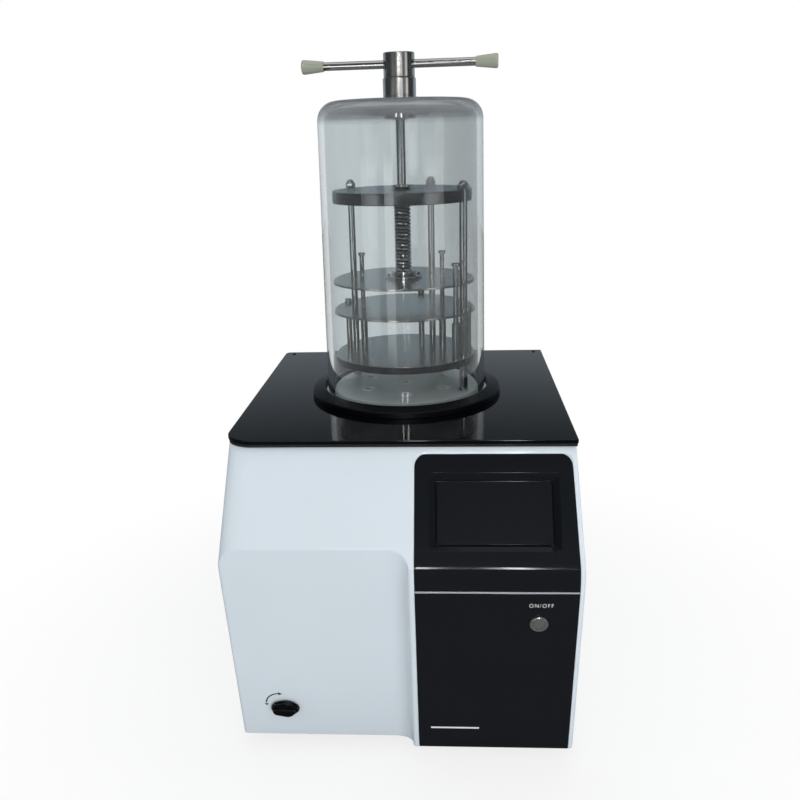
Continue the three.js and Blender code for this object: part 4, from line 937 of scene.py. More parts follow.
# ---------------------------------------------------------------- housing
@dataclass
class Housing:
    """The sheet housing, with its black front panels let in flush.

    Args:
        wall: sheet thickness.
        screen_lean: lean of the upper front, degrees from upright.
        front_lean: lean of the lower front.
        overhang: top plate past the wall's top edge.
        left_inset: lower left front behind the lower right front.
        flare: how much each side wall spreads below the neck.
        flare_height: height over which it spreads.
        step_x: side of the right module.
        step_run: width of the hollow ramp beside it.
        step_rise: depth of that ramp.
        step_edge: rounding of the module's edge.
        neck_corner: front left corner of the upper front.
        base_corner: corners of the lower front.
        fold: size of the rounding along the fold.
        joint: gap round the black panels.
        sink: thickness of the black panels.
        panel_corner: upper corners of the bezel.
        margin: panel's right edge to the side wall.
        rim: rounding of the panels' edges.
        dish_size: width and height of the display's recess.
        dish_x: its middle across the machine.
        dish_drop: from the top edge down the slope to the recess.
        dish_bevel: width of its slanted sides.
        dish_depth: its depth.
        dish_corner: rounding of its corners.
        louvres_x: middle of the rear louvres.
        louvre_width: width of a louvre.
        louvre_count: number of louvres.
        louvre_pitch: from one louvre to the next.
    """

    wall: float = 3 * MM
    screen_lean: float = math.radians(34)
    front_lean: float = math.radians(10)
    overhang: float = 3 * MM
    left_inset: float = 21.5 * MM
    flare: float = 4.5 * MM
    flare_height: float = 142 * MM
    step_x: float = 12 * MM
    step_run: float = 25 * MM
    step_rise: float = 16 * MM
    step_edge: float = 4 * MM
    neck_corner: float = 31 * MM
    base_corner: float = 6 * MM
    fold: float = 1.8 * MM
    joint: float = 0.3 * MM
    sink: float = 2 * MM
    panel_corner: float = 14 * MM
    margin: float = 6.8 * MM
    rim: float = 0.5 * MM
    dish_size: tuple[float, float] = (161 * MM, 96.5 * MM)
    dish_x: float = 119 * MM
    dish_drop: float = 34 * MM
    dish_bevel: float = 8.6 * MM
    dish_depth: float = 10 * MM
    dish_corner: float = 7 * MM
    louvres_x: float = -70 * MM
    louvre_width: float = 152 * MM
    louvre_count: int = 12
    louvre_pitch: float = 13 * MM
    fold_steps: ClassVar[tuple[float, ...]] = (5, 3, 2.2, 1.5, 0.8, 0, -0.8, -1.5, -2.2, -3, -5)

    def __post_init__(self) -> None:
        """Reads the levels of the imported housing."""
        self.top = high("front_fascia").z
        self.foot = low("front_fascia").z
        self.belt = low("front_fascia").y
        self.seam = high("front_fascia").y
        self.base_half = high("front_fascia").x
        self.neck_front = low("top_plate").y + self.overhang
        self.trim_top = high("trim_strip").z
        self.trim_foot = low("trim_strip").z
        self.knee = self.top - self.flare_height
        self.panel_left = low("display_bezel").x
        self.panel_top = high("display_bezel").z
        self.panel_foot = low("display_bezel").z

    # shape of the front
    def half(self, z: float) -> float:
        """Half the width across the side walls at a level."""
        share = (z - self.knee) / self.flare_height
        return self.base_half - self.flare * min(max(share, 0.0), 1.0)

    @staticmethod
    def corner(depth: float, radius: float) -> float:
        """Set-back of a rounded corner at a distance from the side wall."""
        if depth >= radius:
            return 0.0
        return radius - math.sqrt(max(0.0, radius * radius - (radius - depth) ** 2))

    def upper(self, x: float, z: float) -> float:
        """Y of the upper front."""
        half = self.base_half - self.flare * (z - self.knee) / self.flare_height
        set_back = self.corner(x + half, self.neck_corner) + self.corner(half - x, self.base_corner)
        return self.neck_front - (self.top - z) * math.tan(self.screen_lean) + set_back

    def plan(self, x: float, z: float) -> float:
        """Set-back of the lower front across the machine: left part, hollow ramp, right module."""
        half = self.half(z)
        if x < self.step_x:
            share = max(0.0, (x - self.step_x + self.step_run) / self.step_run)
            ramp = self.step_rise * (1 - math.sqrt(max(0.0, 1 - share * share)))
            return self.left_inset - ramp + self.corner(x + half, self.base_corner)
        return self.corner(x - self.step_x, self.step_edge) + self.corner(half - x, self.base_corner)

    def lower(self, x: float, z: float) -> float:
        """Y of the lower front or, above it on the right, of the belt."""
        slanted = self.belt + (self.trim_top - z) * math.tan(self.front_lean) + self.plan(x, z)
        return max(slanted, self.belt + min(self.plan(x, z), self.left_inset / 4))

    def front(self, x: float, z: float) -> float:
        """Y of the outer face at (x, z), with the fold rounded."""
        a, b = self.upper(x, z), self.lower(x, z)
        share = min(max(0.5 + 0.5 * (a - b) / self.fold, 0.0), 1.0)
        return a * share + b * (1 - share) + self.fold * share * (1 - share)

    def outward(self, x: float, z: float) -> Vector:
        """Unit normal of the outer face at (x, z)."""
        step = 0.2 * MM
        along = (self.front(x + step, z) - self.front(x - step, z)) / (2 * step)
        up = (self.front(x, z + step) - self.front(x, z - step)) / (2 * step)
        return Vector((along, -1, up)).normalized()

    def crease(self, x: float) -> float:
        """Level of the fold at x."""
        bottom, top = self.foot, self.top
        for _ in range(40):
            z = (bottom + top) / 2
            if self.upper(x, z) > self.lower(x, z):
                top = z
            else:
                bottom = z
        return bottom

    def wrap(self, shape: Shape) -> Shape:
        """Lays a flat body (x, level, height over the face) on the front."""
        for vert in shape.verts:
            x, z, rise = vert.co
            vert.co = Vector((x, self.front(x, z), z)) + self.outward(x, z) * rise
        bmesh.ops.recalc_face_normals(shape, faces=shape.faces)
        return shape

    def fold_rows(self, x: float) -> list[float]:
        """Levels close above and below the fold."""
        level = self.crease(x)
        return [level + step * MM for step in self.fold_steps]

    def screen_frame(self, x: float, along: float) -> Matrix:
        """Frame on the upper front: X right, Y up the slope, Z outward."""
        y = self.neck_front - along * math.sin(self.screen_lean)
        z = self.top - along * math.cos(self.screen_lean)
        return Matrix.Translation((x, y, z)) @ Matrix.Rotation(math.pi / 2 - self.screen_lean, 4, "X")

    def front_frame(self, x: float, z: float) -> Matrix:
        """Frame on the lower front: X right, Y up, Z outward."""
        turn = Matrix.Rotation(math.pi / 2 + self.front_lean, 4, "X")
        return Matrix.Translation((x, self.front(x, z), z)) @ turn

    # fascia
    def columns(self) -> list[tuple[str, float]]:
        """Columns of the fascia's grid: distance from the left wall, x, or distance from the right wall."""
        left = {*eased(self.neck_corner, range(0, 91, 9)), *eased(self.base_corner, (35, 60, 90))}
        start = self.step_x - self.step_run
        ramp = [start + self.step_run * math.sin(math.radians(angle)) for angle in range(0, 90, 9)]
        ramp += [self.step_x - 0.001 * MM, self.step_x]
        edge = [self.step_x + d for d in eased(self.step_edge, (15, 30, 45, 60, 75, 90))]
        hole_left = self.panel_left - self.joint
        centre = [-0.12, -0.06] + ramp + edge + [hole_left, hole_left + self.panel_corner, 0.09, 0.15]
        hole_right = self.margin - self.joint
        right = [hole_right + self.panel_corner, hole_right]
        right += eased(self.base_corner, (90, 70, 50, 30, 15, 0))
        made = [("left", d) for d in sorted(left)] + [("middle", x) for x in centre]
        return made + [("right", d) for d in right]

    def across(self, column: tuple[str, float], z: float) -> float:
        """X of a column at a level."""
        kind, amount = column
        if kind == "left":
            return amount - self.half(z)
        return self.half(z) - amount if kind == "right" else amount

    def rows(self, column: tuple[str, float]) -> list[float]:
        """Levels of a column's points, top to bottom."""
        near = self.crease(self.across(column, self.knee + 20 * MM))
        close = self.fold_rows(self.across(column, near))
        window = self.panel_top + self.joint
        start = window - self.panel_corner
        fixed = [self.top, window, start]
        between = [start + (close[0] - start) * k / 4 for k in (1, 2, 3)]
        return fixed + between + close + [self.knee, self.trim_top, 0.2, 0.1, self.foot]

    def side_column(self, front: Sequence[Vector], side: int, share: float) -> list[Vector]:
        """Points on a side wall, a share of the way from the front edge to the seam."""
        return [Vector((side * self.half(p.z), p.y + (self.seam - p.y) * share, p.z)) for p in front]

    def fascia(self) -> Piece:
        """The painted front, wrapped round both corners, open behind the black panels."""
        columns = self.columns()
        grid = []
        for column in columns:
            points = []
            for z in self.rows(column):
                x = self.across(column, z)
                points.append(Vector((x, self.front(x, z), z)))
            grid.append(points)
        first, last = grid[0], grid[-1]
        shares = (0.45, 1.0)
        for share in shares:
            grid.insert(0, self.side_column(first, -1, share))
            grid.append(self.side_column(last, 1, share))
        shape = bmesh.new()
        verts = [[shape.verts.new(point) for point in row] for row in grid]
        hole_from = len(shares) + columns.index(("middle", self.panel_left - self.joint))
        hole_to = len(shares) + columns.index(("right", self.margin - self.joint))
        for i in range(len(verts) - 1):
            for j in range(len(verts[0]) - 1):
                if hole_from <= i < hole_to and j >= 1:
                    continue
                shape.faces.new((verts[i][j], verts[i][j + 1], verts[i + 1][j + 1], verts[i + 1][j]))
        self.spandrel(shape, verts, hole_from, hole_from + 1)
        self.spandrel(shape, verts, hole_to, hole_to - 1)
        bmesh.ops.remove_doubles(shape, verts=shape.verts, dist=1e-6)
        bmesh.ops.recalc_face_normals(shape, faces=shape.faces)
        if sum(face.normal.y * face.calc_area() for face in shape.faces) > 0:
            bmesh.ops.reverse_faces(shape, faces=shape.faces)
        piece = finished("fascia_shell", shape, PAINT)
        return fit(thicken(piece, self.wall - 0.2 * MM), "front_fascia")

    def spandrel(self, shape: Shape, verts: Sequence[Ring], edge: int, inner: int) -> None:
        """Fills the corner between the window's rounded corner and the grid."""
        corner, side, top = verts[edge][1], verts[edge][2], verts[inner][1]
        away = (side.co - corner.co) + (top.co - corner.co)
        centre = corner.co + away
        ring = [side]
        for k in range(1, 8):
            angle = math.pi / 2 * k / 8
            spot = centre + (top.co - corner.co) * -math.cos(angle) + (side.co - corner.co) * -math.sin(angle)
            ring.append(shape.verts.new(spot))
        ring.append(top)
        for first, second in zip(ring, ring[1:]):
            shape.faces.new((corner, first, second))

    # black panels
    def panel_outline(self, bottom: float, top: float, radius: float) -> Polygon:
        """Outline of a black panel in (x, level)."""
        base = self.base_half - self.margin
        neck = self.half(top) - self.margin
        corners = [(self.panel_left, bottom, self.rim * 2), (base, bottom, self.rim * 2)]
        if top > self.knee:
            corners.append((base, self.knee, 0.0))
        return Polygon(tuple(corners + [(neck, top, radius), (self.panel_left, top, radius)]), 10)

    def dish_outline(self) -> Polygon:
        """Outline of the display recess about its own centre."""
        half_x, half_y = self.dish_size[0] / 2, self.dish_size[1] / 2
        return box_outline(-half_x, half_x, -half_y, half_y, self.dish_corner, 8)

    def bezel(self) -> Piece:
        """Black panel round the display, bent over the fold, with the display's bevelled recess."""
        along = self.dish_drop + self.dish_size[1] / 2
        level = self.top - along * math.cos(self.screen_lean)
        window = Slanted(self.dish_outline(), (self.dish_x, level), math.cos(self.screen_lean))
        outline = self.panel_outline(self.panel_foot, self.panel_top, self.panel_corner)
        flat = plate(outline, [window], -self.sink, 0, self.rim, 3)
        for z in self.fold_rows(0.12) + [self.trim_top + 0.5 * MM]:
            geometry = flat.verts[:] + flat.edges[:] + flat.faces[:]
            bmesh.ops.bisect_plane(flat, geom=geometry, plane_co=(0, z, 0), plane_no=(0, 1, 0), dist=1e-7)
        deep, bevel = -self.dish_depth, self.dish_bevel
        levels = [(bevel + 1 * MM, deep), (bevel, deep), (bevel - 0.4 * MM, deep + 0.3 * MM)]
        levels += [(0.25 * MM, -0.7 * MM), (0.0, -0.45 * MM), (-1.4 * MM, -0.45 * MM)]
        levels += [(-1.4 * MM, deep - 1.6 * MM)]
        dish = placed(stack(self.dish_outline(), levels), self.screen_frame(self.dish_x, along))
        piece = finished("display_surround", joined(self.wrap(flat), dish), GLOSS_BLACK, 40)
        return fit(piece, "display_bezel")

    def screen(self) -> Piece:
        """Glass over the blank display."""
        along = self.dish_drop + self.dish_size[1] / 2
        half_x = self.dish_size[0] / 2 - self.dish_bevel - 0.5 * MM
        half_y = self.dish_size[1] / 2 - self.dish_bevel - 0.5 * MM
        outline = box_outline(-half_x, half_x, -half_y, half_y, self.dish_corner, 8)
        base = -self.dish_depth + 0.3 * MM
        glass = stack(outline, soft_levels(base, base + 1.8 * MM, 0.4 * MM))
        placed(glass, self.screen_frame(self.dish_x, along))
        return fit(finished("display_window", glass, SCREEN), "screen_glass")

    def lower_panel(self) -> Piece:
        """Black panel below the trim, with the button's hole."""
        outline = self.panel_outline(self.foot, high("lower_panel").z, self.rim * 2)
        button = middle("power_button_cap")
        hole = Circle((button.x, button.z), 9.7 * MM, 48)
        shape = self.wrap(plate(outline, [hole], -self.sink, 0, self.rim))
        return fit(finished("lower_front", shape, GLOSS_BLACK, 40), "lower_panel")

    def trim(self) -> Piece:
        """Narrow metal strip between the two black panels."""
        outline = self.panel_outline(self.trim_foot, self.trim_top - 0.01 * MM, 0.2 * MM)
        strip = self.wrap(plate(outline, [], -self.sink, 0.4 * MM, 0.35 * MM))
        return fit(finished("trim_line", strip, TRIM), "trim_strip")

    def walls(self) -> list[Piece]:
        """Side and rear panels with softened edges, and the pan's finish."""
        made = []
        for name, node, radius in (
            ("left_side", "left_side_panel", 0.8 * MM),
            ("right_side", "right_side_panel", 0.8 * MM),
            ("rear_sheet", "rear_panel", 0.5 * MM),
        ):
            piece = fit(finished(name, copied(node), PAINT), node)
            made.append(soften(piece, radius))
        dress("base_pan", ZINC)
        return made

    def feet(self) -> list[Piece]:
        """Rubber feet with a gripping ring."""
        made = []
        for place in ("front_left", "front_right", "rear_left", "rear_right"):
            node = "foot_" + place
            spot, top, radius = middle(node), high(node).z, width(node) / 2
            profile = [(0, 0.6 * MM, 0), (radius * 0.55, 0.6 * MM, 0.3 * MM), (radius * 0.6, 0, 0.5 * MM)]
            profile += [(radius * 0.86, 0, 1.5 * MM), (radius, top, 0.8 * MM), (0, top, 0)]
            made.append(turned("rubber_" + node, node, profile, RUBBER, 4, 48, (spot.x, spot.y)))
        return made

    def louvres(self) -> list[Piece]:
        """Hoods over the rear air slots, and the rear panel's screws."""
        rear = high("rear_panel").y
        sections, lip = [], -4.6 * MM
        for k in range(13):
            x = self.louvre_width * (k / 12 - 0.5)
            rise = 3.2 * MM * min(1.0, (1 - abs(k - 6) / 6) * 6)
            profile = ((0, 0), (rise * 0.55, -0.6 * MM), (rise, -3.2 * MM), (rise, lip), (0, lip))
            sections.append([Vector((x, out, up)) for out, up in profile])
        hood = tidy(skin(sections))
        bmesh.ops.holes_fill(hood, edges=hood.edges)
        item = finished("hood_item", hood, PAINT)
        foot = middle("fan_rotor").z - self.louvre_pitch * (self.louvre_count - 1) / 2 + 6.2 * MM
        base, step = Vector((self.louvres_x, rear - 0.2 * MM, foot)), Vector((0, 0, self.louvre_pitch))
        hoods = repeated("louvre_hoods", item, PAINT, Repeat.ROW, self.louvre_count, centre=base, step=step)
        spots = [Vector((x * MM, rear, z * MM)) for x in (-212, 212) for z in (30, 150, 290, 425)]
        spots += [Vector((x * MM, rear, z * MM)) for x in (-80, 80) for z in (30, 425)]
        screw = cap_screw(3.2 * MM, 1.8 * MM, SCREW_STEEL, Matrix.Rotation(-math.pi / 2, 4, "X"))
        screws = repeated("rear_screws", screw, SCREW_STEEL, Repeat.SPOTS, spots=spots)
        return [extra(hoods, "rear_panel"), extra(screws, "rear_panel")]

    def build(self) -> list[Piece]:
        """All of the housing."""
        panels = [self.fascia(), self.bezel(), self.screen(), self.lower_panel(), self.trim()]
        return panels + self.walls() + self.feet() + self.louvres()


@dataclass(frozen=True)
class Slanted:
    """An outline on a slanted face, seen in level coordinates.

    Args:
        base: the outline about its own centre.
        centre: where that centre lies.
        squash: how much the slant shortens its height.
    """

    base: Polygon
    centre: Point
    squash: float

    def loop(self, inset: float = 0.0) -> Loop:
        """The outline drawn in by inset."""
        return [(self.centre[0] + x, self.centre[1] + y * self.squash) for x, y in self.base.loop(inset)]


# ---------------------------------------------------------------- top plate and chamber base
@dataclass
class ChamberBase:
    """The glass plate on top, the collar that holds the jar, and the cold trap under its cover.

    Args:
        corners: radii of the plate's corners: front left, front right, rear right, rear left.
        hole: radius of the plate's opening.
        edge: rounding of the plate's edges.
        collar_bore: inner radius of the collar.
        seal_inner: inner radius of the seal.
        hole_radius: radius of the cover's openings.
        hole_circle: radius of the circle they lie on.
        hole_turn: angle of the first opening, degrees.
        cover_depth: thickness of the cover.
    """

    corners: tuple[float, float, float, float] = (37 * MM, 3 * MM, 3 * MM, 9 * MM)
    hole: float = 98 * MM
    edge: float = 1.1 * MM
    collar_bore: float = 120.8 * MM
    seal_inner: float = 105.4 * MM
    hole_radius: float = 8 * MM
    hole_circle: float = 62 * MM
    hole_turn: float = -28.0
    cover_depth: float = 6 * MM

    def outline(self, node: str, inset: float) -> Polygon:
        """Outline of a plate whose corners differ."""
        a, b = low(node), high(node)
        fl, fr, rr, rl = (max(r - inset, 1 * MM) for r in self.corners)
        return Polygon(((a.x, a.y, fl), (b.x, a.y, fr), (b.x, b.y, rr), (a.x, b.y, rl)), 14)

    def top(self) -> list[Piece]:
        """Plate, the frame under it and its two rear screws."""
        made = []
        for name, node, inset, edge, finish in (
            ("glass_plate", "top_plate", 0.0, self.edge, BLACK_GLASS),
            ("plate_frame", "top_frame", 1 * MM, 0.5 * MM, PLASTIC),
        ):
            a, b = low(node), high(node)
            shape = plate(self.outline(node, inset), [Circle(AXIS, self.hole, 128)], a.z, b.z, edge, 4)
            made.append(fit(finished(name, shape, finish), node))
        a, b = low("top_plate"), high("top_plate")
        spots = [Vector((x, b.y - 14 * MM, b.z)) for x in (a.x + 16 * MM, b.x - 14 * MM)]
        screw = cap_screw(2.6 * MM, 1.2 * MM, DARK_SCREW)
        screws = repeated("plate_screws", screw, DARK_SCREW, Repeat.SPOTS, spots=spots)
        return made + [extra(screws, "top_plate")]

    def collar(self) -> list[Piece]:
        """Collar and seal."""
        foot, top, radius = extent("chamber_collar")
        profile = [
            (self.collar_bore, foot, 0.3 * MM),
            (radius, foot, 0.6 * MM),
            (radius, foot + 7.5 * MM, 1.2 * MM),
            (radius - 1.8 * MM, foot + 8.7 * MM, 0.8 * MM),
            (self.collar_bore + 1.5 * MM, top, 0.6 * MM),
            (self.collar_bore, top, 0.4 * MM),
        ]
        base, crown, outer = extent("chamber_seal")
        soft = [(self.seal_inner, base, 0.8 * MM), (outer, base, 0.8 * MM), (outer, crown, 1 * MM)]
        soft += [(self.seal_inner, crown, 1 * MM)]
        return [
            turned("jar_collar", "chamber_collar", profile, COLLAR, 4, LARGE_TURN),
            turned("jar_seal", "chamber_seal", soft, SILICONE, 4, 128),
        ]

    def cover(self) -> list[Piece]:
        """Perforated cover over the cold trap, with bushed openings whose white is partly their own and
        partly painted highlight on their rims.
        """
        spots = [Vector((*AXIS, 0))]
        spots += [Vector((*on_circle(self.hole_circle, self.hole_turn + 60 * k), 0)) for k in range(6)]
        top = high("trap_cover").z
        holes = [Circle((spot.x, spot.y), self.hole_radius, 40) for spot in spots]
        rim = Circle(AXIS, width("trap_cover") / 2, LARGE_TURN)
        disc = plate(rim, holes, top - self.cover_depth, top, 0.8 * MM)
        inner, outer = self.hole_radius - 2.4 * MM, self.hole_radius - 0.05 * MM
        lip = outer + 1.8 * MM
        profile = [
            (inner, -self.cover_depth, 0.2 * MM), (outer, -self.cover_depth, 0.2 * MM), (outer, 0, 0),
            (lip, 0, 0.2 * MM), (lip, 0.8 * MM, 0.3 * MM), (inner, 0.8 * MM, 0.3 * MM),
        ]
        bush = finished("bush_item", lathe(rounded(profile, True, 3), (0, 0), 40), BUSH_WHITE_AND_HIGHLIGHT)
        spots = [spot + Vector((0, 0, top)) for spot in spots]
        bushes = repeated("cover_bushes", bush, BUSH_WHITE_AND_HIGHLIGHT, Repeat.SPOTS, spots=spots)
        return [fit(finished("trap_lid", disc, COVER), "trap_cover"), extra(bushes, "trap_cover")]

    def build(self) -> list[Piece]:
        """All of the chamber base."""
        dress("cold_trap_pot", TURNED_STEEL)
        dress("trap_coil", COPPER)
        dress("trap_insulation", FOAM)
        return self.top() + self.collar() + self.cover()


# ---------------------------------------------------------------- jar and handle
@dataclass
class Jar:
    """The clear bell jar and its shaft gland.

    Args:
        shoulder: outer radius under the shoulder's rounding.
        thickness: wall thickness.
        outer_round: rounding of the shoulder.
        inner_round: rounding inside.
        crown_rise: rise of the crown over the shoulder.
        crown_thickness: thickness of the top.
        boss: radius of the thicker middle that holds the gland.
        boss_thickness: thickness there.
        bore: radius of the top hole.
    """

    shoulder: float = 113.3 * MM
    thickness: float = 8.6 * MM
    outer_round: float = 26 * MM
    inner_round: float = 17.4 * MM
    crown_rise: float = 1.5 * MM
    crown_thickness: float = 10 * MM
    boss: float = 38 * MM
    boss_thickness: float = 18.4 * MM
    bore: float = 12 * MM

    def jar(self) -> Piece:
        """The jar, one thick wall with a heavy rounded crown."""
        foot, crown, base = extent("bell_jar")
        edge, ceiling = crown - self.crown_rise, crown - self.crown_thickness
        seat = crown - self.boss_thickness
        profile = [
            (base - self.thickness, foot, 0.8 * MM),
            (base, foot, 1.2 * MM),
            (self.shoulder, edge, self.outer_round),
            (self.bore + 16 * MM, crown - 0.1 * MM, 60 * MM),
            (self.bore, crown, 0.3 * MM),
            (self.bore, seat, 0.4 * MM),
            (self.boss, seat, 5 * MM),
            (self.boss + 10 * MM, ceiling, 8 * MM),
            (self.shoulder - self.thickness, ceiling, self.inner_round),
        ]
        shape = lathe(rounded(profile, True, 14), segments=LARGE_TURN)
        return fit(finished("clear_jar", shape, ACRYLIC, 50), "bell_jar")

    def gland(self) -> list[Piece]:
        """Steel gland through the crown and its nut inside."""
        tail, top, radius = extent("gland_body")
        foot, neck, hole = high("bell_jar").z + 0.3 * MM, self.bore - 0.3 * MM, 6.6 * MM
        profile = [
            (hole, tail, 0.2 * MM), (neck, tail, 0.5 * MM), (neck, foot, 0), (radius, foot, 0.5 * MM),
            (radius, foot + 3.2 * MM, 0.2 * MM), (radius - 0.5 * MM, foot + 3.5 * MM, 0.2 * MM),
            (radius - 0.5 * MM, foot + 4.1 * MM, 0.2 * MM), (radius, foot + 4.4 * MM, 0.2 * MM),
            (radius, top, 0.9 * MM), (hole, top, 0.3 * MM),
        ]
        low_nut, high_nut, nut_radius = extent("gland_nut")
        ring = [(neck + 0.3 * MM, low_nut, 0.2 * MM), (nut_radius, low_nut, 0.9 * MM)]
        ring += [(nut_radius, high_nut, 0.3 * MM), (neck + 0.3 * MM, high_nut, 0.2 * MM)]
        return [
            turned("gland_steel", "gland_body", profile, TURNED_STEEL, 4),
            turned("gland_ring", "gland_nut", ring, TURNED_STEEL),
        ]

    def build(self) -> list[Piece]:
        """Jar and gland."""
        return [self.jar()] + self.gland()


@dataclass
class Handle:
    """The T-handle on top: hub, bar, end caps and the shaft that drives the screw.

    Args:
        turn: the bar's angle at rest, degrees.
        bar_radius: radius of the bar.
        cap_length: length of an end cap.
        cap_outer: cap's radius at its end.
        cap_inner: cap's radius where the bar enters.
        drop: bar's axis under the hub's top.
        reach: half the length over the caps.
        shaft_radius: radius of the shaft's round part.
        flats: across the flats of its hexagon.
        hexagon_length: length of the hexagonal part.
    """

    turn: float = -4.0
    bar_radius: float = 5.5 * MM
    cap_length: float = 30 * MM
    cap_outer: float = 9.6 * MM
    cap_inner: float = 6.7 * MM
    drop: float = 14.5 * MM
    reach: float = 133 * MM
    shaft_radius: float = 6.25 * MM
    flats: float = 10.4 * MM
    hexagon_length: float = 51 * MM

    def along(self, side: int) -> Matrix:
        """Frame whose Z runs out along one arm of the bar."""
        level = high("handle_hub").z - self.drop
        place = Matrix.Translation((*AXIS, level)) @ Matrix.Rotation(math.radians(self.turn), 4, "Z")
        return place @ Matrix.Rotation(side * math.pi / 2, 4, "Y")

    def hub(self) -> Piece:
        """Steel hub."""
        foot, top, radius = extent("handle_hub")
        profile = [
            (0, foot, 0), (radius - 1.2 * MM, foot, 0.2 * MM), (radius, foot + 0.8 * MM, 0.4 * MM),
            (radius, top, 1.6 * MM), (0, top, 0),
        ]
        return turned("hub_steel", "handle_hub", profile, TURNED_STEEL, 5)

    def bar(self) -> list[Piece]:
        """Bar and its two caps."""
        half = self.reach - 7.6 * MM
        rod = placed(lathe(bar(self.bar_radius, -half, half), (0, 0), 48), self.along(1))
        made = [fit(finished("cross_bar", rod, STEEL), "handle_bar")]
        start, end, hole = self.reach - self.cap_length, self.reach, self.bar_radius + 0.1 * MM
        for node, side in (("handle_cap_left", -1), ("handle_cap_right", 1)):
            profile = [
                (hole, start, 0.3 * MM), (self.cap_inner, start, 0.9 * MM),
                (self.cap_outer, end - 2 * MM, 3 * MM), (self.cap_outer - 1.4 * MM, end, 1.4 * MM),
                (0, end, 0), (0, start + 4 * MM, 0), (hole, start + 4 * MM, 0),
            ]
            points = rounded(profile, True, 5)
            first = next(i for i, (r, z) in enumerate(points) if r == 0 and z < end - 1 * MM)
            points = points[first:] + points[:first]
            shape = placed(lathe(points, (0, 0), 64), self.along(side))
            made.append(fit(finished(node.replace("handle", "grip"), shape, CAP_PLASTIC), node))
        return made

    def shaft(self) -> Piece:
        """Round shaft with a hexagonal end."""
        foot, top = low("drive_shaft").z, high("drive_shaft").z
        join = foot + self.hexagon_length
        six = hexagon(AXIS, self.flats / math.sqrt(3), 0.3 * MM, 2)
        end = stack(six, soft_levels(foot, join + 1 * MM, 0.5 * MM))
        round_part = lathe(bar(self.shaft_radius, join, top), segments=48)
        return fit(finished("drive_rod", joined(round_part, end), STEEL), "drive_shaft")

    def build(self) -> list[Piece]:
        """All of the handle."""
        return [self.hub()] + self.bar() + [self.shaft()]


# ---------------------------------------------------------------- stoppering rack
@dataclass(frozen=True)
class NotchedDisc:
    """A disc with slots open at its rim.

    Args:
        centre: its middle.
        radius: its radius.
        slot: half width of a slot.
        depth: radius of the circle that the slots' round ends lie on.
        azimuths: directions of the slots, degrees, rising.
    """

    centre: Point
    radius: float
    slot: float
    depth: float
    azimuths: tuple[float, ...]

    def loop(self, inset: float = 0.0) -> Loop:
        """The outline drawn in by inset."""
        rim, half = self.radius - inset, self.slot + inset
        x0, y0 = self.centre
        spread = math.degrees(math.asin(half / rim))
        points: Loop = []
        for i, azimuth in enumerate(self.azimuths):
            around = arc((self.depth, 0.0), half, -90, -270, 10)
            turn = math.radians(azimuth)
            cos, sin = math.cos(turn), math.sin(turn)
            points += [(x0 + x * cos - y * sin, y0 + x * sin + y * cos) for x, y in around]
            following = self.azimuths[(i + 1) % len(self.azimuths)]
            end = following + (360 if following < azimuth else 0)
            points += arc(self.centre, rim, azimuth + spread, end - spread, 36)
        return points


